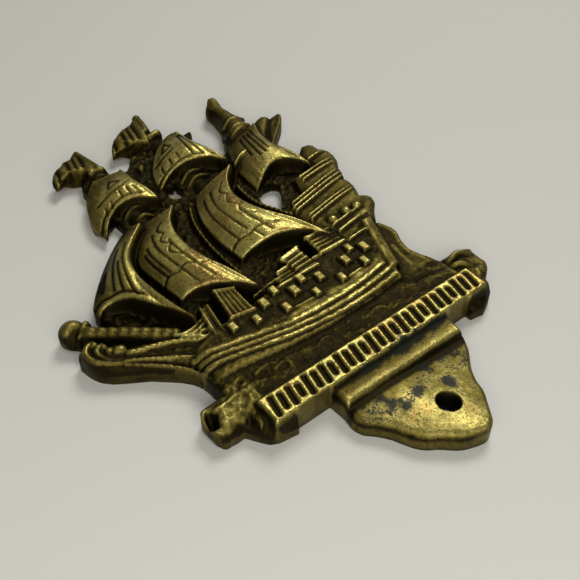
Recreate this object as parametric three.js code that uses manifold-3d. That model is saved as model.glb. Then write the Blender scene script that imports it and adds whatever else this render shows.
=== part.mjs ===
import * as THREE from 'three';
import { mergeVertices } from 'three/addons/utils/BufferGeometryUtils.js';
import Module from 'manifold-3d';

const wasm = await Module();
wasm.setup();

// Sizes in millimetres. x runs right and z up the wall; a rise is measured out from the wall, towards -Y.
// The origin is on the flat back, behind the middle of the name bar.

const BURIED = 2; // how far each form runs behind the back before the back is cut flat
const WELD = 0.02; // edges shorter than this close up where forms meet
const BACKING_RISE = 2.6;

const BAR = { half: 24.9, low: -2.7, high: 2.9, rise: 6, rim: 0.5 };
const STROKE = { count: 34, margin: 1.6, wide: 0.55, deep: 0.5, lean: 0.2, heights: [3.6, 2.2, 3, 1.6] };

const TAB = {
  left: [[-13.4, -2], [-13.5, -8.3], [-11.4, -12], [-9.2, -15.6], [-7, -19], [-2.8, -22.5], [0.6, -24]],
  right: [[14.4, -2], [13.5, -8.6], [10.6, -12.3], [8.3, -15.9], [7.1, -18.8], [4.9, -21.8], [2.6, -24]],
  rise: 3.5, soft: 1.6,
};
const RIDGE = { left: -13.1, right: 14, middle: -4.9, half: 2, rise: 5 };
const SCREW_HOLE = { x: 0.7, z: -16.1, across: 4.3 };

const HULL = {
  side: [[-26.9, 8], [15, 8], [19.8, 24.4], [12.6, 24], [-4, 22.4], [-12, 21], [-20, 20.6], [-25.4, 18.6]],
  rise: 5.2,
};
const WALE = { left: -26.4, right: 15.2, lowest: 4, rise: 6, half: 0.6 };
const WALES = [
  { level: 13.1, sheer: 0.0046 },
  { level: 10.8, sheer: 0.0056 },
  { level: 9.1, sheer: 0.0053 },
];
const STUD = { wide: 1.9, tall: 2.1, rise: 6.2, soft: 0.6 };
const STUD_ROWS = [
  { level: 16.5, first: -7.4, pitch: 6.4, count: 4 },
  { level: 18.9, first: -10.1, pitch: 6.1, count: 5 },
  { level: 21.1, first: -6.7, pitch: 6.1, count: 4 },
  { level: 18.3, first: -17.5, pitch: 4.9, count: 2 },
];

const SAILS = {
  foreCourse: {
    left: [[-16.6, 55.6], [-22.6, 51.4], [-28.8, 45.6], [-33.8, 39.8], [-34, 37]],
    right: [[-16, 51.5], [-20, 48.2], [-23, 44], [-24.4, 39], [-24.3, 34], [-23.3, 29], [-21.7, 24.5]],
    foot: [[-34, 37], [-32, 38], [-28.6, 36.1], [-25.2, 31], [-21.7, 24.5]],
    edge: 2.3, lip: 7, head: [3.4, 6.6],
  },
  midCourse: {
    left: [[-15.2, 53.7], [-18.2, 50.6], [-20.6, 46.5], [-21.5, 41.3], [-20.2, 31.2]],
    right: [[-8, 52], [-10.6, 49], [-12.2, 44.5], [-12.6, 39], [-11.9, 34.5], [-10.2, 29.8], [-8, 23.7]],
    foot: [[-20.2, 31.2], [-17.7, 31], [-14, 29], [-11, 26.5], [-8, 23.7]],
    edge: 3.5, lip: 7, head: [3.4, 6.6],
  },
  mainCourse: {
    left: [[-0.7, 54.7], [-2.8, 51.1], [-4.7, 46], [-5.4, 39.3], [-4.8, 33.1]],
    right: [[9, 55.6], [6, 52.6], [4, 48.5], [3.6, 45], [4.3, 41], [6, 37], [8.5, 32.8], [11.7, 26]],
    foot: [[-4.8, 33.1], [-2.5, 33.4], [2, 32.7], [5, 31.8], [8, 30], [11.7, 26]],
    edge: 3.5, lip: 7, head: [3.4, 6.6],
  },
  foreTopsail: {
    left: [[-15.2, 72.6], [-18.9, 68.2], [-20.4, 65.3], [-21.6, 61.4], [-21.2, 56.2]],
    right: [[-8, 71.9], [-9, 65.6], [-9, 62.8], [-8.5, 60.4], [-7.8, 57.8]],
    foot: [[-21.2, 56.2], [-17.6, 60.5], [-14, 62.2], [-10.6, 60.9], [-7.8, 57.8]],
    edge: 2.3, lip: 6, head: [4.2, 4.5],
  },
  mainTopsail: {
    left: [[8.4, 77.2], [3.4, 75.1], [-0.9, 70.5], [-4.3, 64.6], [-4.7, 61.6]],
    right: [[9.3, 76.2], [8.8, 71], [8.7, 66.7], [9.6, 62.6], [11, 59.2]],
    foot: [[-4.7, 61.6], [-1.4, 64.3], [2.5, 65.2], [6.5, 63.8], [11, 59.2]],
    edge: 2.8, lip: 6, head: [4.4, 4.6],
  },
  mizzenSail: {
    left: [[15.9, 67.5], [13.3, 61.4], [11.3, 56.2], [10.9, 48.6]],
    right: [[24, 66.8], [21.6, 60], [21.8, 53.6], [23.9, 46.9]],
    foot: [[10.9, 48.6], [14.8, 50.9], [18.6, 52], [21.6, 50], [23.9, 46.9]],
    edge: 3, lip: 6, head: [3.2, 4.6],
  },
};
const CLOTH = { bulge: 1.4, lowest: 1.3, atEdge: 0.35, steep: 0.88 };

const MASTS = [
  { foot: [-14.5, 24], top: [-12.9, 77.4], half: 2.2, rise: 4.5 },
  { foot: [1.5, 24], top: [3.9, 80.4], half: 2.3, rise: 4.5 },
  { foot: [18, 42], top: [20.5, 70], half: 2, rise: 4.4 },
];
const MAST_BANDS = [
  { x: -12.7, z: 57.5, half: 2.9 },
  { x: 3.2, z: 60.6, half: 2.9 },
];
const BAND = { count: 2, pitch: 2.6, width: 0.8, rise: 5.1 };

const PENNANTS = [
  { outer: [[-21.7, 76.2], [-20.5, 79.4], [-18, 80.6], [-16.7, 81.7], [-14.5, 82.3], [-13, 82.9]],
    inner: [[-21.4, 75.4], [-18.3, 76.9], [-16.5, 76.8], [-13, 75]],
    spike: [[-11.9, 75], [-12.9, 82.6]], cap: [[-13.6, 74.2], [-11.2, 73.8]], tipRise: 3 },
  { outer: [[-6.5, 78.6], [-4.2, 82], [-1.8, 83.4], [1.2, 84.4], [3.6, 85.9], [4.8, 86.4]],
    inner: [[-6.4, 78.2], [-2.9, 78.5], [0.2, 77.6], [4.2, 78.8]],
    spike: [[4.4, 79.6], [5, 86.2]], cap: [[2.6, 77.6], [5.8, 78.4]], tipRise: 2.6 },
];
const FLUTE = { count: 4, rise: 4.7, deep: 0.35, spike: 0.8, cap: 1 };
const MIZZEN_POLE = {
  left: [[20.2, 80.6], [19, 78.8], [19.4, 75], [18.2, 71], [15.6, 65.2]],
  right: [[22.6, 81.5], [23.8, 80], [23.2, 76.8], [24.2, 71.8], [23.8, 67.6]],
  edge: 2.2, crest: 4.9,
};
const POLE_RINGS = [
  [[18.2, 70.3], [21, 71.3], [23.8, 70.8]],
  [[17.6, 67.6], [20.6, 68.7], [23.5, 68.2]],
];
const FINS = [
  [[20.4, 67], [24, 68], [27.6, 69.3], [29.6, 67.9], [32.4, 68.4], [31.8, 66.1], [28.9, 63.2], [24.1, 59],
    [20.4, 58.6]],
  [[7.4, 75], [9.6, 75.1], [12.5, 75.7], [12.1, 74.3], [10.7, 71.9], [7.4, 70]],
];
const FIN_RISE = 3;

const BOWSPRIT = { tip: [-39.4, 37.3], butt: [-25.8, 24.8], half: 1.4, rise: 4.9, knob: 2.7, bands: 7 };
const BEAK = {
  outline: [[-41.9, 31], [-41.2, 32.2], [-38.5, 32.2], [-37.6, 30.6], [-30, 26.4], [-20, 25], [-20, 10],
    [-26.9, 10.6], [-27.1, 14.3], [-29.8, 17.7], [-33.6, 21.2], [-39.2, 24.9], [-41.4, 29.3]],
  rise: 3.3, volute: [-36, 27.7], voluteRadius: 1.5,
  panel: [[-26.2, 24], [-19.1, 24.5], [-20.4, 19.8], [-23.4, 20.6]], panelRise: 4.3,
};
const RAILS = [
  [[-34.6, 26], [-30.6, 24.5], [-25.9, 22.4], [-20.3, 19.7]],
  [[-36.1, 24.9], [-30.4, 21], [-25, 17.4]],
  [[-37.6, 24.7], [-33.1, 21.6], [-29, 17.1], [-27, 12.9]],
];
const RAIL = { half: 0.6, rise: 4.4 };
const HEAD_STRANDS = { count: 3, from: [-39.1, 31], to: [-39.7, 26.6], pitch: 1.2, half: 0.62, rise: 4.2 };

const DECK_BLOCKS = [
  { corners: [[-21, 18.9], [-19.5, 18.7], [-17.8, 25.6], [-19.4, 26]], rise: 5.6, upright: true },
  { corners: [[-16.8, 20.4], [-12, 19.4], [-11.8, 26], [-15.4, 27.8]], rise: 5.9, upright: true },
  { corners: [[-5.2, 21.2], [0, 21.2], [0, 24.6], [-3.2, 24.4]], rise: 5.6 },
  { corners: [[0, 21], [4.3, 21], [4.3, 27.4], [-0.6, 26.6]], rise: 5.9 },
  { corners: [[6.4, 23], [12.7, 23], [12.7, 27.6], [6.8, 28.4]], rise: 5.9 },
];
const PLANK = { shares: [0.25, 0.5, 0.75], width: 0.42, rise: 0.25 };
const CASTLE = [
  { corners: [[12.6, 20], [19.6, 24.6], [23.2, 25.1], [24.7, 27.1], [27.4, 30.6], [25.7, 32.7], [12.2, 30.6]],
    rise: 5.3 },
  { corners: [[11.6, 29], [25.7, 32.4], [27.3, 36], [27.1, 38.8], [28.6, 41.2], [27.4, 42], [10.6, 38.4]],
    rise: 4.9 },
  { corners: [[12.6, 38], [28.4, 41], [30.6, 45.1], [31.4, 47.4], [18.4, 46.6]], rise: 4.5 },
  { corners: [[23.6, 46], [31.5, 47], [31.3, 49.4], [30.6, 53], [28.2, 54.6], [24.8, 51.6]], rise: 4 },
];
const MOULDINGS = [
  [[14, 26], [21.9, 27.9]],
  [[13.7, 22.6], [18.3, 23.1]],
  [[12.3, 32.4], [25.4, 35.1]],
  [[12.6, 33.7], [25.4, 36.3]],
  [[11.6, 36.4], [26.8, 39.8]],
  [[12, 37.9], [27, 41.3]],
  [[19.4, 43.6], [28.6, 45]],
  [[19.4, 45], [29.2, 46.6]],
  [[25, 48.6], [29.8, 49.6]],
];
const MOULDING = { half: 0.45, rise: 6, fall: 0.045 };
const CASTLE_KNOBS = [[15.3, 28.8], [19.1, 29.2], [21.8, 29.1]];
const STERN = {
  post: [[20.7, 25.6], [18.9, 21.2], [17.2, 16.8], [15.2, 11.6]],
  side: [[14, 8], [15.6, 14], [20, 25], [23.2, 25.4], [24.3, 21.4], [22.5, 16.3], [23.1, 12.9], [25.4, 8.4]],
  postRise: 6.1, sideRise: 4,
};

const SEA = { rise: 4.5, crest: 0.15, left: -26.6, right: 24.8, low: -1, high: 10.4, waves: 7 };
const LOG = { near: [-33, 5], far: [-23, 5.6], half: 3.6, rise: 4.9, bore: 1, boreAt: [-31.9, 4.9] };
const LEAF = {
  outline: [[24.4, 9.4], [29.5, 9.6], [32.5, 8.1], [32.1, 5], [32.3, 3.6], [29, 1.6], [23, 2]], rise: 2.9,
  ridges: [[[25.6, 7.7], [28.7, 8], [31, 6.9]], [[24.6, 6.4], [27, 5.7], [28.6, 4.2]]], half: 0.8, crest: 4.1,
};
const BAR_ENDS = [
  [[-29, 2.4], [-26.7, -1.1], [-24.4, -3], [-20.5, -3.6], [-20, 5], [-28.5, 5]],
  [[20, -4], [23.1, -4.5], [26.8, -2.6], [28.6, 0.2], [32.3, 3.6], [20, 6]],
];
const BAR_END_RISE = 3.2;

const BACKING = [
  [[-33.4, 37.4], [-24, 48], [-16.5, 55], [-8, 55], [-0.5, 55.5], [10, 57], [14.5, 62], [21, 64], [22, 56],
    [24, 48], [19, 44], [13, 36], [13, 20], [-25, 20], [-30, 27]],
  [[-17, 53], [-17.2, 62], [-17.5, 70], [-17.4, 73], [-16, 76], [-10.4, 76], [-8.8, 71.4], [-8.4, 60],
    [-4.6, 60], [-0.6, 62], [-0.6, 53]],
  [[-0.8, 54], [-0.8, 62.4], [-4, 63], [3.4, 74.6], [7.4, 75], [9.6, 60], [8, 54]],
  [[-10.4, 59], [-0.6, 59], [-2.4, 66], [1, 72], [2.6, 77.4], [-0.5, 77.2], [-3.6, 76], [-5.2, 73.9],
    [-6.4, 72.7], [-8.2, 72.9], [-9.8, 74], [-10.6, 72]],
  [[8, 57], [15, 57], [16, 66], [10.4, 61.4]],
];
const OPENINGS = [
  [[10.4, 42.4], [9.8, 44.6], [10.1, 46.6], [11.4, 48.4], [13.4, 49.4], [15.4, 49.3], [16.2, 48.4],
    [15.8, 46.8], [14.4, 44.9], [12.8, 42.7], [11.4, 41.2]],
  [[-4.2, 58.4], [-2.8, 57.4], [-1.4, 57.8], [-0.8, 59.5], [-1.2, 61.5], [-2.6, 62.2], [-4, 61.2]],
];

const at2 = ([x, z]) => new THREE.Vector2(x, z);
const spline = (points) => new THREE.SplineCurve(points.map(at2));

// Turns a closed geometry into a solid, with its shared corners merged and its faces outward.
function toSolid(geometry) {
  geometry.deleteAttribute('normal');
  geometry.deleteAttribute('uv');
  const merged = mergeVertices(geometry, 1e-4);
  const points = merged.attributes.position.array;
  const corners = Uint32Array.from(merged.index.array);
  const triangle = new THREE.Triangle();
  let volume = 0;
  for (let i = 0; i < corners.length; i += 3) {
    triangle.a.fromArray(points, 3 * corners[i]);
    triangle.b.fromArray(points, 3 * corners[i + 1]);
    triangle.c.fromArray(points, 3 * corners[i + 2]);
    volume += triangle.a.dot(triangle.b.clone().cross(triangle.c));
  }
  if (volume < 0) corners.reverse();
  const vertProperties = Float32Array.from(points);
  const mesh = new wasm.Mesh({ numProp: 3, vertProperties, triVerts: corners, tolerance: WELD });
  mesh.merge();
  return new wasm.Manifold(mesh);
}

// A relief patch: u runs across and v down it, and its back is buried behind the wall.
function patch(columns, rows, place) {
  const box = new THREE.BoxGeometry(1, 1, 1, columns, rows, 1);
  const spot = box.attributes.position;
  for (let i = 0; i < spot.count; i += 1) {
    const [x, z, rise] = place(spot.getX(i) + 0.5, 0.5 - spot.getY(i));
    spot.setXYZ(i, x, spot.getZ(i) > 0 ? -rise : BURIED, z);
  }
  return toSolid(box);
}

// A flat-topped form with upright walls, from the corners of its outline.
function plate(corners, rise) {
  const shape = new THREE.Shape(corners.map(at2));
  const block = new THREE.ExtrudeGeometry(shape, { depth: rise + BURIED, bevelEnabled: false });
  return toSolid(block.translate(0, 0, -BURIED).rotateX(Math.PI / 2));
}

// A round-backed rib along a curve; its sides start at the rise `low`.
function rib(path, half, low, crest, steps = 8, taper = 0) {
  const curve = spline(path);
  return patch(4, steps, (u, v) => {
    const point = curve.getPoint(v);
    const along = curve.getTangent(v);
    const side = 2 * u - 1;
    const reach = half * (1 - taper * v);
    const rise = low + (crest - low) * Math.cos(side * Math.PI / 2);
    return [point.x + along.y * side * reach, point.y - along.x * side * reach, rise];
  });
}

// An egg-shaped boss centred on the wall side of its rise.
function boss(x, z, acrossX, acrossZ, rise) {
  const ball = new THREE.SphereGeometry(1, 12, 8).scale(acrossX, rise, acrossZ);
  return toSolid(ball.translate(x, 0, z));
}

// A block whose edges are set back by `soft` in rise over the outer third of its width.
function block(x, z, wide, tall, rise, soft) {
  return patch(3, 3, (u, v) => {
    const rim = u === 0 || u === 1 || v === 0 || v === 1;
    return [x + (u - 0.5) * wide, z + (0.5 - v) * tall, rim ? rise - soft : rise];
  });
}

// A sail between its left edge, right edge and arched foot. It climbs to the lip of its right edge,
// swells below the middle and bends back to the rises of its head.
function sail({ left, right, foot, edge, lip, head }) {
  const sideL = spline(left);
  const sideR = spline(right);
  const arch = spline(foot);
  const [footL, footR] = [at2(foot[0]), at2(foot[foot.length - 1])];
  return patch(9, 9, (u, v) => {
    const point = sideL.getPoint(v).lerp(sideR.getPoint(v), u);
    const sag = arch.getPoint(u).sub(footL.clone().lerp(footR, u));
    point.addScaledVector(sag, v * v);
    const climb = 0.5 * u + 0.5 * THREE.MathUtils.smoothstep(u, 0, CLOTH.steep);
    const full = CLOTH.bulge * Math.sin(Math.PI * v ** CLOTH.lowest);
    const swell = edge + (lip - edge) * climb + full * THREE.MathUtils.lerp(CLOTH.atEdge, 1, u);
    const bent = THREE.MathUtils.lerp(head[0], head[1], u);
    return [point.x, point.y, THREE.MathUtils.lerp(swell, bent, (1 - v) * (1 - v))];
  });
}

const union = (solids) => solids.reduce((whole, next) => whole.add(next));

// The bar, with a softened rim and a row of slanted strokes cut into its face.
function nameBar() {
  const body = patch(3, 3, (u, v) => {
    const rim = u === 0 || u === 1 || v === 0 || v === 1;
    const x = (2 * Math.round(u) - 1) * BAR.half + (u > 0 && u < 1 ? Math.sign(0.5 - u) * BAR.rim : 0);
    const z = (v < 0.5 ? BAR.high : BAR.low) - (v > 0 && v < 1 ? Math.sign(0.5 - v) * BAR.rim : 0);
    return [x, z, rim ? BAR.rise - BAR.rim : BAR.rise];
  });
  const pitch = 2 * (BAR.half - STROKE.margin) / (STROKE.count - 1);
  const middle = (BAR.low + BAR.high) / 2;
  const strokes = [];
  for (let i = 0; i < STROKE.count; i += 1) {
    const tall = STROKE.heights[i % STROKE.heights.length];
    const cut = new THREE.BoxGeometry(STROKE.wide, 2 * STROKE.deep, tall).rotateY(STROKE.lean);
    strokes.push(toSolid(cut.translate((i - (STROKE.count - 1) / 2) * pitch, -BAR.rise, middle)));
  }
  return body.subtract(union(strokes));
}

// The fixing tab: a soft-edged tongue below the bar with a round ridge across its top.
function fixingTab() {
  const [left, right] = [spline(TAB.left), spline(TAB.right)];
  const tongue = patch(10, 18, (u, v) => {
    const point = left.getPoint(v).lerp(right.getPoint(v), u);
    const rim = Math.max(Math.abs(2 * u - 1), v) ** 8;
    return [point.x, point.y, TAB.rise - TAB.soft * rim];
  });
  const crest = [[RIDGE.left, RIDGE.middle], [RIDGE.right, RIDGE.middle]];
  const ridge = rib(crest, RIDGE.half, TAB.rise, RIDGE.rise, 1);
  return tongue.add(ridge);
}

function screwHole() {
  const drill = new THREE.CylinderGeometry(SCREW_HOLE.across / 2, SCREW_HOLE.across / 2, 40, 24);
  return toSolid(drill.translate(SCREW_HOLE.x, 0, SCREW_HOLE.z));
}

function hull() {
  const rows = WALES.map(({ level, sheer }) => {
    const path = [];
    for (let i = 0; i <= 6; i += 1) {
      const x = THREE.MathUtils.lerp(WALE.left, WALE.right, i / 6);
      path.push([x, level + sheer * (x - WALE.lowest) ** 2]);
    }
    return rib(path, WALE.half, HULL.rise, WALE.rise, 12);
  });
  const studs = STUD_ROWS.flatMap(({ level, first, pitch, count }) => (
    Array.from({ length: count }, (_, i) => {
      const x = first + i * pitch;
      return block(x, level, STUD.wide, STUD.tall, STUD.rise, STUD.soft);
    })
  ));
  return union([plate(HULL.side, HULL.rise), ...rows, ...studs]);
}

// Deck houses, each with a few plank edges standing proud of its face.
function deckHouses() {
  return union(DECK_BLOCKS.flatMap(({ corners, rise, upright }) => {
    const [a, b, c, d] = corners.map(at2);
    const planks = PLANK.shares.map((t) => {
      const start = upright ? a.clone().lerp(b, t) : a.clone().lerp(d, t);
      const end = upright ? d.clone().lerp(c, t) : b.clone().lerp(c, t);
      return rib([start.toArray(), end.toArray()], PLANK.width, rise, rise + PLANK.rise, 1);
    });
    return [plate(corners, rise), ...planks];
  }));
}

function sternCastle() {
  const tiers = CASTLE.map(({ corners, rise }) => plate(corners, rise));
  const lines = MOULDINGS.map((path) => {
    const crest = MOULDING.rise - MOULDING.fall * (path[0][1] - CASTLE[0].corners[0][1]);
    return rib(path, MOULDING.half, 3.8, crest, 1);
  });
  const knobs = CASTLE_KNOBS.map(([x, z]) => boss(x, z, 0.95, 0.95, 6.1));
  const post = rib(STERN.post, 0.9, STERN.sideRise, STERN.postRise);
  return union([...tiers, ...lines, ...knobs, post, plate(STERN.side, STERN.sideRise)]);
}

function bow() {
  const rails = RAILS.map((path) => rib(path, RAIL.half, BEAK.rise, RAIL.rise));
  const strands = Array.from({ length: HEAD_STRANDS.count }, (_, i) => {
    const shift = (i - (HEAD_STRANDS.count - 1) / 2) * HEAD_STRANDS.pitch;
    const [from, to] = [HEAD_STRANDS.from, HEAD_STRANDS.to].map(([x, z]) => [x + shift, z + 0.6 * shift]);
    return rib([from, to], HEAD_STRANDS.half, BEAK.rise, HEAD_STRANDS.rise, 2);
  });
  const volute = boss(...BEAK.volute, BEAK.voluteRadius, BEAK.voluteRadius, 5);
  const shaft = rib([BOWSPRIT.tip, BOWSPRIT.butt], BOWSPRIT.half, 3, BOWSPRIT.rise, 2);
  const knob = boss(...BOWSPRIT.tip, BOWSPRIT.knob, BOWSPRIT.knob, 5.2);
  const along = at2(BOWSPRIT.butt).sub(at2(BOWSPRIT.tip));
  const bands = Array.from({ length: BOWSPRIT.bands }, (_, i) => {
    const centre = at2(BOWSPRIT.tip).addScaledVector(along, 0.3 + 0.6 * i / BOWSPRIT.bands);
    const reach = along.clone().normalize().multiplyScalar(0.4);
    const ends = [centre.clone().sub(reach).toArray(), centre.clone().add(reach).toArray()];
    return rib(ends, BOWSPRIT.half + 0.1, 3, BOWSPRIT.rise + 0.2, 1);
  });
  const plates = [plate(BEAK.outline, BEAK.rise), plate(BEAK.panel, BEAK.panelRise)];
  return union([...plates, ...rails, ...strands, volute, shaft, knob, ...bands]);
}

// A pennant streams left from its spike, rising from its tip, with flutes across it and a cap on the mast.
function pennant({ outer, inner, spike, cap, tipRise }) {
  const [low, high] = [spline(inner), spline(outer)];
  const cloth = patch(FLUTE.count * 4, 3, (u, v) => {
    const point = high.getPoint(u).lerp(low.getPoint(u), v);
    const flute = Math.cos(2 * Math.PI * FLUTE.count * u);
    const level = tipRise + (FLUTE.rise - tipRise) * Math.sin(Math.min(1.5 * u, 1) * Math.PI / 2);
    return [point.x, point.y, level + FLUTE.deep * flute * (1 - 0.4 * v)];
  });
  return cloth.add(rib(spike, FLUTE.spike, 3, 4.9, 3, 0.25)).add(rib(cap, FLUTE.cap, 2.6, 4.7, 1));
}

function mizzenPole() {
  const [left, right] = [spline(MIZZEN_POLE.left), spline(MIZZEN_POLE.right)];
  const pole = patch(6, 8, (u, v) => {
    const point = left.getPoint(v).lerp(right.getPoint(v), u);
    const swell = Math.sin(Math.PI * u);
    return [point.x, point.y, MIZZEN_POLE.edge + (MIZZEN_POLE.crest - MIZZEN_POLE.edge) * swell];
  });
  return union([pole, ...POLE_RINGS.map((path) => rib(path, 0.6, 2.8, MIZZEN_POLE.crest + 0.4, 4))]);
}

function rigging() {
  const masts = MASTS.map(({ foot, top, half, rise }) => rib([foot, top], half, 2.2, rise, 2, 0.3));
  const bands = MAST_BANDS.flatMap(({ x, z, half }) => Array.from({ length: BAND.count }, (_, i) => {
    const level = z + (i - (BAND.count - 1) / 2) * BAND.pitch;
    return rib([[x - half, level - 0.5], [x, level], [x + half, level]], BAND.width, 2.8, BAND.rise, 4);
  }));
  const fins = FINS.map((corners) => plate(corners, FIN_RISE));
  const sails = Object.values(SAILS).map(sail);
  return union([...masts, ...bands, ...fins, ...sails, ...PENNANTS.map(pennant), mizzenPole()]);
}

// The sea under the hull, in low waves, with a hollow log at its left end and a leaf scroll at its right.
function sea() {
  const water = patch(SEA.waves * 4, 4, (u, v) => {
    const wave = Math.cos(2 * Math.PI * (SEA.waves * u + 0.35 * v));
    const x = THREE.MathUtils.lerp(SEA.left, SEA.right, u);
    return [x, THREE.MathUtils.lerp(SEA.high, SEA.low, v), SEA.rise + SEA.crest * wave];
  });
  const log = rib([LOG.near, LOG.far], LOG.half, 1.6, LOG.rise, 4);
  const bore = new THREE.CylinderGeometry(LOG.bore, LOG.bore, 3, 14);
  const hollow = toSolid(bore.translate(LOG.boreAt[0], -LOG.rise, LOG.boreAt[1]));
  const ridges = LEAF.ridges.map((path) => rib(path, LEAF.half, 2.6, LEAF.crest, 4));
  const ends = BAR_ENDS.map((corners) => plate(corners, BAR_END_RISE));
  return union([water, log.subtract(hollow), plate(LEAF.outline, LEAF.rise), ...ridges, ...ends]);
}

function plaque() {
  const backing = BACKING.map((corners) => plate(corners, BACKING_RISE));
  const ship = [hull(), deckHouses(), sternCastle(), bow(), rigging()];
  const forms = [...backing, sea(), ...ship, fixingTab(), nameBar()];
  const behind = toSolid(new THREE.BoxGeometry(300, 60, 300).translate(0, 30, 0));
  const openings = OPENINGS.map((corners) => plate(corners, 9));
  return union(forms).subtract(behind).subtract(screwHole()).subtract(union(openings));
}

function toGeometry(whole) {
  const { numProp, vertProperties, triVerts } = whole.getMesh();
  const geometry = new THREE.BufferGeometry();
  const points = new Float32Array(3 * vertProperties.length / numProp);
  for (let i = 0; i < points.length / 3; i += 1) {
    points.set(vertProperties.subarray(numProp * i, numProp * i + 3), 3 * i);
  }
  geometry.setAttribute('position', new THREE.BufferAttribute(points, 3));
  geometry.setIndex(new THREE.BufferAttribute(triVerts, 1));
  geometry.computeVertexNormals();
  return geometry;
}

const agedBrass = new THREE.MeshStandardMaterial({ color: 0x6b5a2c, roughness: 0.42, metalness: 0.95 });
const body = new THREE.Mesh(toGeometry(plaque()), agedBrass);
body.name = 'galleon_plaque';

const group = new THREE.Group();
group.add(body);

export default group;
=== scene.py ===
"""A cast brass wall plaque: a ship under sail in relief above a name bar, with a fixing tab below.

The casting is one relief. Each sub-assembly lays its forms into a height field over the wall, in
millimetres: x runs right, z up the wall, and a rise is measured out from the flat back, towards -Y. The
field then becomes one closed mesh, with upright walls and a flat back that lifts a little under the thin
tips.
"""

import logging
from dataclasses import dataclass, field
from enum import Enum
from typing import Callable, Sequence

import bpy
import numpy as np
from mathutils import Matrix, Vector
from mathutils.geometry import delaunay_2d_cdt


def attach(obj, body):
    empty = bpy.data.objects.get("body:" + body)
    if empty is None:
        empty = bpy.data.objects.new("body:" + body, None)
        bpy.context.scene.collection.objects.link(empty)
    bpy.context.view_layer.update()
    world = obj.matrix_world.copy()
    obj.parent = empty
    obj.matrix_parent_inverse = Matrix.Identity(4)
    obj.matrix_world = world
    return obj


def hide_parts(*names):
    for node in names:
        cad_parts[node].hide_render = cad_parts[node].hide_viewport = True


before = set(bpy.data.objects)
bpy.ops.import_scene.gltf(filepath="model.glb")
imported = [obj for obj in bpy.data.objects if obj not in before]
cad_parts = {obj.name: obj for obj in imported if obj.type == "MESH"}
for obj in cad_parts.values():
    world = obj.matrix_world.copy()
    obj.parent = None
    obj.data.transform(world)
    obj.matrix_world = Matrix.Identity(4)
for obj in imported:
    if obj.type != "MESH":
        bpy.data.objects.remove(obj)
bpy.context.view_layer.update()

log = logging.getLogger("plaque")

Array = np.ndarray
Spot = tuple[float, float]
Rub = tuple[float, float]
Dome = tuple[float, float, float]
Plan = Sequence[Spot]
Plans = tuple[Plan, ...]
Strokes = tuple[tuple[Plan, float, float], ...]
Line = Plan | Array
Window = tuple[slice, slice]
Level = float | Array | Callable[..., Array]
Colour = tuple[float, float, float, float]

MM = 0.001
TINY = 1e-6
PIECE = "galleon_plaque_casting"


def curve(points: Plan, per_span: int = 10) -> Array:
    """Smooth path through control points.

    On each span it is the cubic whose end slopes are half of the chord between the neighbouring points.

    Args:
        points: Control points on the wall.
        per_span: Steps between two control points.

    Returns:
        The path's points, one row each.
    """
    knots = np.asarray(points, dtype=float)
    ends = np.vstack([2 * knots[0] - knots[1], knots, 2 * knots[-1] - knots[-2]])
    a, b, c, d = (ends[i:len(ends) - 3 + i, None, :] for i in range(4))
    t = np.linspace(0, 1, per_span, endpoint=False)[None, :, None]
    path = b + 0.5 * ((c - a) * t + (2 * a - 5 * b + 4 * c - d) * t**2 + (3 * b - a - 3 * c + d) * t**3)
    return np.vstack([path.reshape(-1, 2), knots[-1:]])


def nearest(x: Array, z: Array, path: Array) -> tuple[Array, Array]:
    """Distance from each grid point to a path, and where along it the nearest point lies.

    For each straight run of the path the grid point is dropped onto it, and the shortest drop is kept.

    Args:
        x: Grid x.
        z: Grid z.
        path: Points of the path.

    Returns:
        The distance in millimetres, and the share of the path's length from 0 to 1.
    """
    runs = np.diff(path, axis=0)
    lengths = np.maximum(np.hypot(runs[:, 0], runs[:, 1]), TINY)
    begun = np.concatenate([[0.0], np.cumsum(lengths)])
    best = np.full(x.shape, np.inf)
    along = np.zeros(x.shape)
    for (px, pz), (rx, rz), length, start in zip(path[:-1], runs, lengths, begun):
        share = np.clip(((x - px) * rx + (z - pz) * rz) / length**2, 0, 1)
        gap = np.hypot(x - px - share * rx, z - pz - share * rz)
        closer = gap < best
        best = np.where(closer, gap, best)
        along = np.where(closer, start + share * length, along)
    return best, along / begun[-1]


def enclosed(x: Array, z: Array, starts: Array, ends: Array) -> Array:
    """Which points lie inside closed outlines: a ray to the right from them crosses an odd number of sides.

    Args:
        x: Points' x.
        z: Points' z.
        starts: First corner of each side, one row each.
        ends: Second corner of each side.

    Returns:
        True for the points inside.
    """
    inside = np.zeros(x.shape, dtype=bool)
    for (ax, az), (bx, bz) in zip(starts, ends):
        if az != bz:
            inside ^= ((az > z) != (bz > z)) & (x < ax + (z - az) * (bx - ax) / (bz - az))
    return inside


def inset_of(x: Array, z: Array, loop: Array) -> Array:
    """Distance to a closed outline, positive inside it and negative outside.

    Args:
        x: Grid x.
        z: Grid z.
        loop: Corners of the outline.

    Returns:
        The signed distance in millimetres.
    """
    closed = np.vstack([loop, loop[:1]])
    gap, _ = nearest(x, z, closed)
    return np.where(enclosed(x, z, closed[:-1], closed[1:]), gap, -gap)


def between(first: Array, second: Array) -> Array:
    """Share of the way from one path to another, out of the distances to both."""
    return first / (first + second + TINY)


def soft_max(a: Array, b: Array, blend: float) -> Array:
    """The larger of two fields, with the crease between them rounded over `blend` millimetres."""
    share = np.clip(0.5 + 0.5 * (a - b) / blend, 0, 1)
    return b + (a - b) * share + blend * share * (1 - share)


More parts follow.
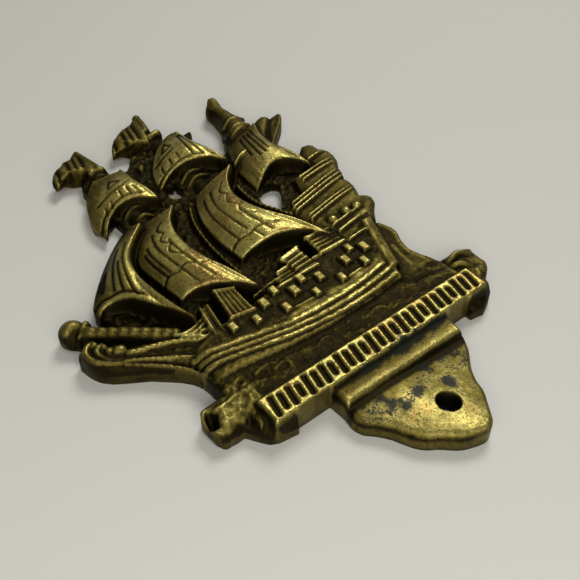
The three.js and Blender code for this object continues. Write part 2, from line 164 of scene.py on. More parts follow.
def smooth(values: Array, spread: float) -> Array:
    """A field blurred by a bell curve.

    The field's spectrum is multiplied by exp(-2 (pi f spread)^2), with the field mirrored at its borders.

    Args:
        values: The field.
        spread: The bell's standard deviation, in grid steps.

    Returns:
        The blurred field.
    """
    pad = int(4 * spread) + 2
    wide = np.pad(values, pad, mode="edge")
    down = np.fft.fftfreq(wide.shape[0])[:, None]
    across = np.fft.rfftfreq(wide.shape[1])[None, :]
    bell = np.exp(-2 * (np.pi * spread)**2 * (down**2 + across**2))
    soft = np.fft.irfft2(np.fft.rfft2(wide) * bell, s=wide.shape)
    return soft[pad:-pad, pad:-pad]


def smooth_within(values: Array, weight: Array, spread: float) -> Array:
    """A field blurred by a bell curve over those points alone that have weight."""
    return smooth(values * weight, spread) / np.maximum(smooth(weight, spread), 0.05)


@dataclass(frozen=True)
class Cut:
    """A groove's section: half its width, its depth, and the dirt that lies in it."""

    half: float
    deep: float
    dirt: float = 0.0


@dataclass(frozen=True)
class Bead:
    """A rib's section: half its width, the rises of its sides and back, its taper, and the change of polish
    along its back, which is rubbing on most ribs and painted shade on the masts.
    """

    half: float
    low: Level
    crest: Level
    taper: float = 0.0
    shine: float = 0.0
    shine_half: float = 0.4


@dataclass
class Relief:
    """The casting's front as a height field, with how far each point lies inside the plaque's outline."""

    left: float = -44.5
    right: float = 34.0
    low: float = -26.0
    high: float = 88.2
    step: float = 0.24
    wall: float = 8.0
    crease: float = 0.12
    outside: float = -50.0
    bare_polish: float = 0.1
    x: Array = field(init=False)
    z: Array = field(init=False)
    rise: Array = field(init=False)
    inset: Array = field(init=False)
    stain: Array = field(init=False)
    under: Array = field(init=False)
    # How polished the metal is; in places it also carries painted highlights and painted shade.
    polish: Array = field(init=False)
    bores: list[tuple[float, float, float, float]] = field(default_factory=list)

    def __post_init__(self) -> None:
        """Lays out the empty grid."""
        across = np.arange(self.left, self.right, self.step)
        upward = np.arange(self.low, self.high, self.step)
        self.x, self.z = np.meshgrid(across, upward)
        self.rise = np.zeros(self.x.shape)
        self.inset = np.full(self.x.shape, self.outside)
        self.stain = np.zeros(self.x.shape)
        self.under = np.zeros(self.x.shape)
        self.polish = np.full(self.x.shape, self.bare_polish)

    def around(self, points: Line, margin: float = 3.0) -> Window:
        """The part of the grid that holds some points with a margin round them."""
        low = np.min(points, axis=0) - margin
        high = np.max(points, axis=0) + margin
        first = np.maximum(((low - (self.left, self.low)) / self.step).astype(int), 0)
        last = np.maximum(((high - (self.left, self.low)) / self.step).astype(int) + 2, 1)
        return slice(first[1], last[1]), slice(first[0], last[0])

    def inside(self, loop: Line) -> tuple[Window, Array]:
        """The part of the grid round an outline, and how far inside it each point lies."""
        where = self.around(loop)
        return where, inset_of(self.x[where], self.z[where], np.asarray(loop, dtype=float))

    def bell(self, path: Line, half: float) -> tuple[Window, Array]:
        """The part of the grid round a path, and a bell of the distance to it."""
        where = self.around(path, margin=4 * half)
        gap, _ = nearest(self.x[where], self.z[where], np.asarray(path, dtype=float))
        return where, np.exp(-((gap / half)**2))

    def grain(self, size: float, seed: int, stretch: float = 1.0) -> Array:
        """Random lumps of a given size over the whole grid, with unit spread.

        White noise is blurred by a bell of the lump size, after its rows are squeezed by `stretch`.

        Args:
            size: Lump size in millimetres.
            seed: Seed of the noise.
            stretch: How many times longer than wide a lump is, up the wall.

        Returns:
            The field of lumps.
        """
        rows, columns = self.x.shape
        noise = np.random.default_rng(seed).standard_normal((int(rows / stretch) + 2, columns))
        lumps = smooth(noise, size / self.step / 2.4)
        at = np.linspace(0, len(lumps) - 1.001, rows)
        lower = at.astype(int)
        share = (at - lower)[:, None]
        spread = lumps[lower] * (1 - share) + lumps[lower + 1] * share
        return spread / spread.std()

    def lay(self, where: Window, inset: Array, rise: float | Array, soft: float | Array = 0.5,
            blend: float = 0.2) -> None:
        """Adds a form to the field.

        Inside its edge the top drops as a quarter round of radius `soft`, and beyond the edge as a steep
        wall; the higher of this and what is there already stays.

        Args:
            where: Part of the grid.
            inset: Distance inside the form's edge over that part.
            rise: Height of its top.
            soft: Radius of its edge.
            blend: How far creases against its neighbours are rounded.
        """
        turn = 1 - np.clip(inset / soft, 0, 1)
        top = rise - soft * (1 - np.sqrt(np.maximum(1 - turn**2, 0)))
        top = top + self.wall * np.minimum(inset, 0)
        self.rise[where] = soft_max(self.rise[where], top, blend)
        self.inset[where] = np.maximum(self.inset[where], inset)

    def plate(self, loop: Line, rise: Level, soft: float = 0.5, blend: float = 0.2) -> None:
        """Adds a form with a flat top, or with a top worked out by a function of the grid's x and z."""
        where, inset = self.inside(loop)
        level = rise(self.x[where], self.z[where]) if callable(rise) else rise
        self.lay(where, inset, level, soft, blend)

    def dome(self, where: Window, gap: Array, reach: float | Array, low: float | Array,
             crest: float | Array) -> None:
        """Adds a round back.

        Its rise is low + (crest - low) sqrt(1 - (gap / reach)^2), and beyond the reach it drops as a steep
        wall.

        Args:
            where: Part of the grid.
            gap: Distance from the form's middle over that part.
            reach: Half its width.
            low: Rise of its sides.
            crest: Rise of its back.
        """
        back = np.sqrt(np.clip(1 - (gap / reach)**2, 0, 1))
        top = low + (crest - low) * back + self.wall * np.minimum(reach - gap, 0)
        self.rise[where] = soft_max(self.rise[where], top, self.crease)
        self.inset[where] = np.maximum(self.inset[where], reach - gap)

    def rib(self, path: Line, form: Bead) -> None:
        """Adds a round-backed rib along a path and changes the polish along its back.

        Its sides' and its back's rises are numbers or functions of the share along it.

        Args:
            path: Points of the path.
            form: The rib's section.
        """
        where = self.around(path, margin=form.half + 2)
        gap, along = nearest(self.x[where], self.z[where], np.asarray(path, dtype=float))
        low, crest = (rise(along) if callable(rise) else rise for rise in (form.low, form.crest))
        self.dome(where, gap, form.half * (1 - form.taper * along), low, crest)
        if form.shine:
            self.buff(path, form.shine_half, form.shine)

    def knob(self, spot: Spot, radius: float, low: float, crest: float) -> None:
        """Adds a domed knob."""
        where = self.around([spot], margin=radius + 2)
        gap = np.hypot(self.x[where] - spot[0], self.z[where] - spot[1])
        self.dome(where, gap, radius, low, crest)

    def groove(self, path: Line, cut: Cut) -> None:
        """Cuts a groove along a path, with a bell-shaped section, and fills it with dirt."""
        where, bell = self.bell(path, cut.half)
        self.rise[where] -= cut.deep * bell
        self.polish[where] -= cut.dirt * bell

    def buff(self, path: Line, half: float, amount: float) -> None:
        """Raises the polish along a path, or lowers it, fading as a bell to its sides: rubbing in some
        places, painted highlight or painted shade in others.
        """
        where, bell = self.bell(path, half)
        self.polish[where] += amount * bell

    def roughen(self, loop: Line, lumps: Array, amount: float, fade: float = 0.8) -> None:
        """Adds lumps to the field inside an outline, fading in from its edge."""
        where, inset = self.inside(loop)
        self.rise[where] += amount * lumps[where] * np.clip(inset / fade, 0, 1)

    def tone(self, loop: Line, polish: float, fade: float = 0.5) -> None:
        """Sets the polish inside an outline, fading at its edge: the metal's own tone, and painted shade
        where a dark level is set.
        """
        where, inset = self.inside(loop)
        share = np.clip(inset / fade + 0.5, 0, 1)
        self.polish[where] += (polish - self.polish[where]) * share

    def pierce(self, loop: Line) -> None:
        """Cuts an opening right through."""
        where, inset = self.inside(loop)
        self.inset[where] = np.minimum(self.inset[where], -inset)

    def lift(self, spot: Spot, reach: float, amount: float) -> None:
        """Raises the underside round a spot, by a bell of the given reach."""
        gap = np.hypot(self.x - spot[0], self.z - spot[1])
        self.under = np.maximum(self.under, amount * np.exp(-((gap / reach)**4)))

    def sample(self, values: Array, x: Array, z: Array) -> Array:
        """A field's values between grid points, by the four nearest."""
        column = np.clip((x - self.left) / self.step, 0, values.shape[1] - 1.001)
        row = np.clip((z - self.low) / self.step, 0, values.shape[0] - 1.001)
        j, i = column.astype(int), row.astype(int)
        u, v = column - j, row - i
        lower = values[i, j] * (1 - u) + values[i, j + 1] * u
        upper = values[i + 1, j] * (1 - u) + values[i + 1, j + 1] * u
        return lower * (1 - v) + upper * v


class SeamStyle(Enum):
    """How the seams cut into a sail run."""

    PLAIN = "straight down the cloth"
    SCALLOPED = "in arcs that meet at cusps"


@dataclass
class Seam:
    """A seam of a sail, at a share of its width from the left edge, drifting sideways down the cloth."""

    share: float
    head: float = 0.1
    foot: float = 0.97
    style: SeamStyle = SeamStyle.PLAIN
    swing: float = 0.0
    arcs: float = 3.0
    drift: float = 0.0

    def line(self, down: Array) -> Array:
        """The seam's share at each share down the sail; a scallop swings out as the size of a sine."""
        share = self.share + self.drift * down
        if self.style is SeamStyle.SCALLOPED:
            span = (down - self.head) / (self.foot - self.head)
            share = share + self.swing * np.abs(np.sin(np.pi * self.arcs * span))
        return share


@dataclass
class Sail:
    """A sail between its left edge, its right leech and its arched foot, swelling up towards the leech."""

    name: str
    left: Plan
    right: Plan
    foot: Plan
    edge: float
    lip: float
    belly: float
    seams: tuple[Seam, ...] = ()
    foot_bands: tuple[float, ...] = ()
    marks: Plans = ()
    stitch: Cut = Cut(0.22, 0.3, 0.85)
    lip_half: float = 0.5
    lip_over: float = 0.12
    head: Spot = (3.4, 6.6)
    # Share of the way down the cloth over which the head's painted shade fades out.
    painted_shade: float = 0.34
    side_painted_shade: float = 0.42
    roll: float = 0.6
    bulge: float = 1.4
    under: float = 0.0
    shade: float = 0.6
    polish: float = 0.76
    ease: float = 0.88
    roll_width: float = 0.24
    roll_start: float = 3.17
    bulge_low: float = 1.3
    bulge_edge: float = 0.35
    weave_rise: float = 0.02
    scallop: float = 0.2
    scallops: float = 2.5
    soft: float = 0.3
    blend: float = 0.15
    head_painted_shade: float = 0.5
    # Share of the way across over which the left edge's painted shade fades out.
    side_share: float = 0.34
    shade_reach: float = 1.6
    leech_deep: float = 0.7
    hem_deep: float = 0.6
    hem_share: float = 0.6
    under_reach: float = 3.6

    def level(self, across: Array, down: Array) -> Array:
        """Rise of the cloth.

        It goes from the edge's rise to the lip's, half evenly and half in an eased step, and rolls over at
        the leech. The belly is the sine of a half turn across. The bulge is the sine of a half turn down
        the cloth, fullest below the middle and near the leech. At the head all this fades to an even slope
        between two rises, as the square of the way up.

        Args:
            across: Share from the left edge to the leech.
            down: Share from the head to the foot.

        Returns:
            The rise in millimetres.
        """
        step = np.clip(across / self.ease, 0, 1)
        swell = self.edge + (self.lip - self.edge) * (0.5 * across + 0.5 * step**2 * (3 - 2 * step))
        swell = swell - self.roll * np.clip(across / self.roll_width - self.roll_start, 0, 1)**2
        swell = swell + self.belly * np.sin(np.pi * across)
        fullness = self.bulge_edge + (1 - self.bulge_edge) * across
        swell = swell + self.bulge * np.sin(np.pi * down**self.bulge_low) * fullness
        head = self.head[0] + (self.head[1] - self.head[0]) * across
        return swell + (head - swell) * (1 - down)**2

    def ink(self, across: Array, down: Array, width: Array, to_foot: Array) -> Array:
        """How deep the seams and the foot bands cut.

        It is a bell of the distance to them, and a band is scalloped by the size of a sine.

        Args:
            across: Share from the left edge to the leech.
            down: Share from the head to the foot.
            width: The cloth's width in millimetres.
            to_foot: Distance to the foot.

        Returns:
            A share from 0 to 1.
        """
        ink = np.zeros(across.shape)
        for seam in self.seams:
            sewn = (down > seam.head) & (down < seam.foot)
            gap = (across - seam.line(down)) * width
            ink = np.maximum(ink, sewn * np.exp(-((gap / self.stitch.half)**2)))
        for band in self.foot_bands:
            dip = band * (1 + self.scallop * np.abs(np.sin(self.scallops * np.pi * across)))
            ink = np.maximum(ink, (across < self.ease) * np.exp(-(((to_foot - dip) / self.stitch.half)**2)))
        return ink

    def leech_rise(self, along: Array) -> Array:
        """Rise of the lip down the leech, by the share along it."""
        return self.level(np.ones_like(along), along) + self.lip_over

    def hem_rise(self, along: Array) -> Array:
        """Rise of the lip along the foot, by the share along it."""
        return self.level(along, np.ones_like(along)) + self.hem_share * self.lip_over

    def shape(self, relief: Relief, weave: Array) -> None:
        """Lays the sail into the relief with its lips, seams and marks.

        Args:
            relief: The height field.
            weave: Lumps stretched down the cloth.
        """
        left, right, foot = curve(self.left), curve(self.right), curve(self.foot)
        head = np.array([self.left[0], self.right[0]])
        loop = np.vstack([left, foot[1:-1], right[::-1]])
        where, inset = relief.inside(loop)
        to_left, to_right, to_foot, to_head = (
            nearest(relief.x[where], relief.z[where], path)[0] for path in (left, right, foot, head))
        across, down = between(to_left, to_right), between(to_head, to_foot)
        ink = self.ink(across, down, to_left + to_right + TINY, to_foot)
        level = self.level(across, down) + self.weave_rise * weave[where]
        relief.lay(where, inset, level - self.stitch.deep * ink, self.soft, self.blend)
        relief.tone(loop, self.polish)
        # Painted shade: the cloth darkens towards its head, under the sail above, and towards its left edge,
        # which faces away from the light.
        painted_shade = self.head_painted_shade * np.clip(1 - down / self.painted_shade, 0, 1)
        painted_shade = painted_shade + self.side_painted_shade * np.clip(1 - across / self.side_share, 0, 1)
        relief.polish[where] -= (self.stitch.dirt * ink + painted_shade) * np.clip(inset / self.soft, 0, 1)
        # Painted shade on whatever lies just below the foot.
        relief.polish[where] -= self.shade * (inset < 0) * np.exp(-((to_foot / self.shade_reach)**2))
        for mark in self.marks:
            relief.groove(mark, self.stitch)
        relief.rib(right, Bead(
            self.lip_half, lambda t: self.leech_rise(t) - self.leech_deep, self.leech_rise))
        hem_half = self.hem_share * self.lip_half
        relief.rib(foot, Bead(hem_half, lambda t: self.hem_rise(t) - self.hem_deep, self.hem_rise))
        if self.under:
            relief.lift(self.foot[0], self.under_reach, self.under)


@dataclass
class Rigging:
    """Masts, mast bands, ropes and the rough backing that carries the sails."""

    backing_rise: float = 2.4
    backing_polish: float = -0.12
    backing: Plans = (
        ((-33.4, 37.4), (-24, 48), (-16.5, 55), (-8, 55), (-0.5, 55.5), (10, 57), (14.5, 62), (21, 64),
         (22, 56), (24, 48), (19, 44), (13, 36), (13, 20), (-25, 20), (-30, 27)),
        ((-17, 53), (-17.2, 62), (-17.5, 70), (-17.4, 73), (-16, 76), (-10.4, 76), (-8.8, 71.4), (-8.4, 60),
         (-4.6, 60), (-0.6, 62), (-0.6, 53)),
        ((-0.8, 54), (-0.8, 62.4), (-4, 63), (3.4, 74.6), (7.4, 75), (9.6, 60), (8, 54)),
        ((-10.4, 59), (-0.6, 59), (-2.4, 66), (1, 72), (2.6, 77.4), (-0.5, 77.2), (-3.6, 76), (-5.2, 73.9),
         (-6.4, 72.7), (-8.2, 72.9), (-9.8, 74), (-10.6, 72)),
        ((8, 57), (15, 57), (16, 66), (10.4, 61.4)),
    )
    openings: Plans = (
        ((10.4, 42.4), (9.8, 44.6), (10.1, 46.6), (11.4, 48.4), (13.4, 49.4), (15.4, 49.3), (16.2, 48.4),
         (15.8, 46.8), (14.4, 44.9), (12.8, 42.7), (11.4, 41.2)),
        ((-4.2, 58.4), (-2.8, 57.4), (-1.4, 57.8), (-0.8, 59.5), (-1.2, 61.5), (-2.6, 62.2), (-4, 61.2)),
    )
    masts: Strokes = (
        (((-14, 36), (-12.9, 77.4)), 2.3, 3.5), (((2, 38), (3.9, 80.4)), 2.4, 3.4),
        (((19.4, 54), (20.5, 70)), 2.0, 4.2),
    )
    bands: tuple[tuple[Plan, float], ...] = (
        (((-15.6, 58.2), (-13.2, 59), (-9.6, 58.6)), 4.8), (((-15, 55.6), (-12.6, 56.1), (-10.4, 55.8)), 4.6),
        (((0.2, 60.9), (2.6, 61.7), (6.2, 61.7)), 4.8), (((0.4, 58.8), (2.6, 59.6), (6.2, 59.8)), 4.6),
        (((-15, 72.4), (-12.9, 73), (-10.6, 72.6)), 4.6), (((-15.2, 74.2), (-13, 74.8), (-10.8, 74.4)), 4.6),
    )
    ropes: Strokes = (
        (((-7.2, 30), (-7.3, 36), (-6.9, 42), (-5.6, 48), (-3.6, 52.4)), 0.5, 3.5),
        (((12, 33.4), (11.2, 36.4), (9.6, 40.4), (8.3, 43.3), (7.7, 46.2), (7.7, 49.2), (8, 51.7)), 0.6, 3.9),
        (((-22.6, 29), (-23.6, 34), (-23.8, 39), (-22.8, 44), (-20.4, 48)), 0.5, 3.7),
    )
    beads: float = 16.0
    backing_soft: float = 0.4
    backing_blend: float = 0.3
    backing_rough: float = 0.13
    mast_low: float = 2.0
    mast_taper: float = 0.25
    mast_painted_shade: float = -0.14
    band_half: float = 0.65
    band_side: Spot = (2.2, 1.3)
    band_drop: Spot = (0.4, 1.2)
    band_shine: float = 0.1
    rope_low: float = 2.4
    rope_bead: float = 0.3
    top_knob: Spot = (-3.9, 70.6)
    band_shine_half: float = 0.5
    top_dome: Dome = (0.9, 2.4, 3.7)

    def shape(self, relief: Relief, lumps: Array) -> None:
        """Lays the backing first, then the masts, their bands, the beaded ropes and a small knob.

        A band rises towards its middle, its sides as a half sine and its back as a parabola. A rope's beads
        are the size of a sine along it.

        Args:
            relief: The height field.
            lumps: Rough lumps for the backing.
        """
        for loop in self.backing:
            relief.plate(loop, self.backing_rise, self.backing_soft, self.backing_blend)
        for loop in self.backing:
            relief.roughen(loop, lumps, self.backing_rough)
            # The backing's low polish is partly its rough dark casting and partly painted shade under the
            # sails.
            relief.tone(loop, self.backing_polish)
        for ends, half, rise in self.masts:
            # The masts' backs get painted shade.
            relief.rib(ends, Bead(half, self.mast_low, rise, self.mast_taper, self.mast_painted_shade, half))
        (end, swell), (below, fall) = self.band_side, self.band_drop
        for path, crest in self.bands:
            relief.rib(curve(path), Bead(
                self.band_half, lambda t: end + swell * np.sin(np.pi * t),
                lambda t: crest - below - fall * (2 * t - 1)**2, shine=self.band_shine,
                shine_half=self.band_shine_half))
        for path, half, crest in self.ropes:
            relief.rib(curve(path), Bead(
                half, self.rope_low,
                lambda t: crest + self.rope_bead * np.abs(np.sin(np.pi * self.beads * t))))
        relief.knob(self.top_knob, *self.top_dome)

    def pierce(self, relief: Relief) -> None:
        """Cuts the openings between the sails right through."""
        for loop in self.openings:
            relief.pierce(loop)


@dataclass
class Pennant:
    """A pennant streaming left from its blunt spike, in a fan of rounded lobes, thin at its lifted tip."""

    outer: Plan
    inner: Plan
    spike: Plan
    cap: Plan
    tip_rise: float
    tip_under: float
    root_rise: float = 4.6
    pitch: float = 1.9
    lean: float = 0.22
    deep: float = 0.42
    polish: float = 0.14
    bulb: float = 0.7
    uneven: float = 0.2
    flute_swing: float = 2.1
    reach: float = 1.5
    soft: float = 0.6
    crest_painted_highlight: float = 0.22
    valley_dirt: float = 0.14
    foot: Bead = Bead(1.3, 2.4, 4.9)
    foot_worn: Plan = ((-0.4, 0), (0.2, 0.3))
    under_reach: float = 3.6
    foot_rub: Rub = (0.7, 0.3)
    fold_middle: float = 0.6
    fold_least: float = 0.4
    edge_fall: float = 0.4
    over: float = 0.3
    rub_fade: float = 0.5
    spike_half: float = 1.0
    spike_low: float = 1.2
    spike_over: float = 0.4
    spike_taper: float = -0.1
    bulb_low: float = 1.0
    bulb_over: float = 0.5

    def shape(self, relief: Relief) -> None:
        """Lays the pennant.

        Its rise goes from the tip's to the root's as the sine of a quarter turn along the outer edge, and
        falls off in sharp valleys between flutes, by the size of a sine across them; the flutes lean by a
        fixed slope.
        """
        outer, inner, spike = curve(self.outer), curve(self.inner), curve(self.spike)
        loop = np.vstack([outer, spike, inner[::-1]])
        where, inset = relief.inside(loop)
        x, z = relief.x[where], relief.z[where]
        to_outer, along = nearest(x, z, outer)
        to_inner, _ = nearest(x, z, inner)
        tip_x, tip_z = self.outer[0]
        way = (x - tip_x - self.lean * (z - tip_z)) / self.pitch
        fold = np.abs(np.sin(np.pi * (way + self.uneven * np.sin(self.flute_swing * way))))
        depth = between(to_outer, to_inner)
        quarter = np.sin(0.5 * np.pi * np.clip(self.reach * along, 0, 1))
        level = self.tip_rise + (self.root_rise - self.tip_rise) * quarter
        full = self.fold_least + (1 - self.fold_least) * np.sin(np.pi * depth)
        level = level + self.deep * (fold - self.fold_middle) * full - self.edge_fall * (1 - depth)
        relief.lay(where, inset, level + self.over, self.soft)
        relief.tone(loop, self.polish)
        # Painted highlights along the flutes' crests, and darker valleys between them.
        rubbed = self.crest_painted_highlight * fold**3 - self.valley_dirt * (1 - fold)
        relief.polish[where] += rubbed * np.clip(inset / self.rub_fade, 0, 1)
        root = self.root_rise
        relief.rib(spike, Bead(
            self.spike_half, root - self.spike_low, root + self.spike_over, self.spike_taper))
        relief.knob(tuple(spike[0]), self.bulb, root - self.bulb_low, root + self.bulb_over)
        relief.rib(self.cap, self.foot)
        relief.buff(np.array(self.cap[1]) + self.foot_worn, *self.foot_rub)
        relief.lift(self.outer[0], self.under_reach, self.tip_under)


@dataclass
class MizzenTop:
    """The thick round post with rings above the mizzen sail, the leaf behind that sail and a fin darkened
    with painted shade.
    """

    left: Plan = (
        (21, 81.2), (19.6, 79.9), (19.1, 78.2), (19.5, 76.6), (19.4, 74.8), (18.9, 73), (18.2, 71),
        (17, 68.8), (15.6, 65.2),
    )
    right: Plan = (
        (22, 82), (23.2, 82), (24, 81), (23.7, 78.6), (23.2, 76.8), (23.4, 75), (23.7, 73), (24.3, 71.6),
        (23.8, 67.6),
    )
    edge: float = 2.2
    crest: float = 4.9
    under: float = 1.4
    rings: Plans = (((18, 70.2), (21, 71.4), (23.9, 70.8)),
                               ((17.4, 67.4), (20.6, 68.8), (23.6, 68.2)))
    leaf: Plan = (
        (24, 68), (26.5, 69.1), (27.8, 69.3), (29.6, 67.9), (31.1, 68.2), (32.4, 68.4), (32.5, 67.3),
        (31.8, 66.1), (30.4, 64.5), (28.9, 63.2), (27.1, 61.7), (25.6, 60.5), (24.1, 59), (20.4, 58.6),
        (20.4, 67),
    )
    groove: Plan = ((29.4, 67.5), (27.8, 66), (26.4, 64.4), (24.4, 62))
    crease: Plan = ((11.2, 56.6), (12.9, 57.9), (14.7, 58.9), (16.4, 59.4))
    fin: Plan = ((7.4, 75), (9.6, 75.1), (11, 75.5), (12.5, 75.7), (12.1, 74.3), (10.7, 71.9), (7.4, 70))
    vein: Cut = Cut(0.45, 0.5, 0.2)
    leaf_rise: float = 3.5
    leaf_wave: float = 0.25
    fin_rise: float = 3.0
    fin_painted_shade: float = -0.1
    polish: float = 0.1
    post_worn: Plan = ((22.6, 80.8), (22.4, 77.5))
    ring: Bead = Bead(0.6, 3.0, lambda t: 4.1 + 1.1 * np.sin(np.pi * t))
    ring_worn_from: int = 12
    crease_bead: Bead = Bead(0.5, 4.0, 5.3)
    under_reach: float = 3.4
    leaf_waves: float = 0.9
    leaf_soft: float = 0.7
    fin_soft: float = 0.4
    post_soft: float = 0.9
    post_rub: Rub = (0.8, 0.25)
    ring_rub: Rub = (0.5, 0.3)

    def leaf_level(self, x: Array, z: Array) -> Array:
        """Rise of the leaf: a slanting sine wave."""
        return self.leaf_rise + self.leaf_wave * np.sin(self.leaf_waves * (x - z))

    def shape(self, relief: Relief) -> None:
        """Lays the leaf, the fin, the post, which is half round across, its rings and a crease under them."""
        relief.plate(self.leaf, self.leaf_level, self.leaf_soft)
        relief.groove(curve(self.groove), self.vein)
        relief.plate(self.fin, self.fin_rise, self.fin_soft)
        # Painted shade on the fin.
        relief.tone(self.fin, self.fin_painted_shade)
        left, right = curve(self.left), curve(self.right)
        loop = np.vstack([left, right[::-1]])
        where, inset = relief.inside(loop)
        to_left, to_right = (nearest(relief.x[where], relief.z[where], path)[0] for path in (left, right))
        half_round = np.sqrt(np.clip(1 - (2 * between(to_left, to_right) - 1)**2, 0, 1))
        relief.lay(where, inset, self.edge + (self.crest - self.edge) * half_round, self.post_soft)
        relief.tone(self.leaf, self.polish)
        relief.tone(loop, self.polish)
        relief.buff(self.post_worn, *self.post_rub)
        for path in map(curve, self.rings):
            relief.rib(path, self.ring)
            relief.buff(path[self.ring_worn_from:], *self.ring_rub)
        relief.rib(curve(self.crease), self.crease_bead)
        relief.lift(self.left[1], self.under_reach, self.under)


@dataclass
class Hull:
    """The ship's side: broad wales with painted highlights between dark joints along its sheer, and worn
    studs above them, with painted shade round their feet.
    """

    rise: float = 5.3
    side: Plan = (
        (-27.4, 11), (-20, 10), (-12, 8.8), (-4, 8.2), (6, 8.2), (14.8, 9), (19.8, 24.4), (12.6, 24),
        (-4, 22.4), (-12, 21), (-20, 20.6), (-25.4, 18.8), (-27.6, 17.2),
    )
    joints: Plans = (
        ((-27.6, 16.3), (-24, 15.8), (-20, 15), (-15, 13.8), (-10, 12.6), (-5, 12.1), (0, 11.9), (5, 12),
         (10, 12.5), (14.6, 13.2)),
        ((-27, 14.8), (-24, 14.4), (-20, 13.5), (-15, 12.4), (-10, 11.3), (-5, 10.6), (0, 10.2), (5, 10.3),
         (10, 10.8), (14.3, 11.3)),
        ((-26.6, 13.2), (-24, 12.9), (-20, 12.1), (-15, 11), (-10, 9.9), (-5, 9.2), (0, 8.8), (5, 8.8),
         (10, 9.1), (14, 9.6)),
    )
    gap: float = 1.5
    # Painted highlights along the wales and the band above the top joint: paths, half widths and amounts.
    bright: Strokes = (
        (((-8, 13.2), (-3, 12.8), (2, 12.7), (7, 13.1), (14, 14)), 0.8, 0.4),
        (((3, 11), (9, 11.5), (14.2, 12.2)), 0.5, 0.3), (((-14, 11.3), (-10, 10.6), (-6, 9.9)), 0.5, 0.26),
        (((-13, 12.7), (-7, 11.5), (1, 11)), 0.4, 0.16),
        (((-8, 14.2), (-3, 13.9), (2, 13.8), (7, 14.2), (13.6, 15)), 0.7, 0.5),
        (((-22, 15.9), (-14, 14.6)), 0.5, 0.16), (((-3, 9.5), (5, 9.5)), 0.4, 0.14),
    )
    rails: Plans = (
        ((-10.2, 22.2), (-4, 23.2), (4, 23.4), (12, 22.8)), ((7.4, 22.9), (12.4, 22.7), (18.4, 23.3)),
        ((-6, 15.3), (-2, 15.1)), ((6.8, 15.2), (10, 15.4)), ((0.4, 19.5), (1.4, 19.5)),
        ((10.2, 20), (11, 20.1)),
    )
    studs: Plan = (
        (-17.8, 18.3), (-13.3, 17.2), (-10.1, 19.4), (-7.4, 16.2), (-6.7, 20.9), (-3.7, 18.5), (-0.7, 15.8),
        (-0.9, 20.2), (2.2, 18.4), (5.5, 15.8), (8.9, 18.7), (11.7, 16.4), (11.7, 20.9), (14.2, 19.3),
    )
    upper: Plan = (
        (-26.4, 17.8), (-20, 17), (-15, 15.9), (-10, 15), (-5, 14.8), (0, 14.7), (5, 14.8), (10, 15.3),
        (17, 16.2), (19.2, 23.8), (12.6, 23.6), (-4, 22), (-12, 20.6), (-20, 20.2), (-25, 18.5),
    )
    upper_polish: float = -0.08
    stud_half: Spot = (0.9, 1.25)
    stud_rise: float = 6.1
    stud_wear: float = 0.1
    stud_painted_shade: float = -0.15
    stud_polish: float = 0.42
    soft: float = 0.7
    polish: float = 0.1
    rough: float = 0.05
    bow_fall: float = 1.5
    bow_from: float = -24.0
    bow_run: float = 3.4
    stern_end: float = 14.8
    joint: Cut = Cut(0.22, 0.26, 0.4)
    wale_swell: float = 0.24
    wale_wear: float = 0.015
    wale_painted_highlight: float = 0.3
    rail: Bead = Bead(0.28, 5.2, 5.65, shine=0.5, shine_half=0.3)
    joint_steps: int = 4
    stern_fade: float = 0.4
    stud_turn: float = 2.3
    stud_soft: float = 0.4
    stud_blend: float = 0.12
    stud_around: float = 1.4
    stud_face: float = 0.75

    def level(self, x: Array, z: Array) -> Array:
        """Rise of the side: even, but falling away to the bow as the square of the way."""
        return self.rise - self.bow_fall * np.clip((self.bow_from - x) / self.bow_run, 0, 1)**2

    def shape(self, relief: Relief, lumps: Array, streaks: Array) -> None:
        """Lays the side, rounds its wales, cuts the joints between them, adds the rails and the studs, then
        paints highlights along the wales.

        A wale's section swells above its joint by the root of a half sine of the distance over the gap to
        the next.

        Args:
            relief: The height field.
            lumps: Rough lumps for the planking.
            streaks: Lumps that wear the wales unevenly.
        """
        relief.plate(self.side, self.level, self.soft)
        relief.tone(self.side, self.polish)
        relief.tone(self.upper, self.upper_polish)
        relief.roughen(self.side, lumps, self.rough)
        where, inset = relief.inside(self.side)
        x, z = relief.x[where], relief.z[where]
        joints = [curve(joint, self.joint_steps) for joint in self.joints]
        for path in joints:
            away, _ = nearest(x, z, path)
            above = z > np.interp(x, path[:, 0], path[:, 1])
            swell = np.sqrt(np.sin(np.pi * np.clip(away / self.gap, 0, 1))) * above * (inset > 0)
            swell = swell * np.clip((self.stern_end - x) / self.stern_fade, 0, 1)
            relief.rise[where] += swell * (self.wale_swell + self.wale_wear * streaks[where])
            # Painted highlight on each wale's swell.
            relief.polish[where] += self.wale_painted_highlight * swell
        for path in joints:
            relief.groove(path, self.joint)
        for path in self.rails:
            relief.rib(curve(path), self.rail)
        wide, tall = self.stud_half
        corners = np.array(((-wide, -tall), (wide, -tall), (wide, tall), (-wide, tall)))
        for index, spot in enumerate(self.studs):
            worn = self.stud_wear * np.sin(self.stud_turn * index)
            # Painted shade round each stud's foot.
            relief.tone(corners * self.stud_around + spot, self.stud_painted_shade)
            shrunk = corners * (1 - worn) + spot
            relief.plate(shrunk, self.stud_rise - worn, self.stud_soft, self.stud_blend)
            relief.tone(corners * self.stud_face + spot, self.stud_polish)
        # Painted highlights along the wales.
        for path, half, amount in self.bright:
            relief.buff(curve(path), half, amount)


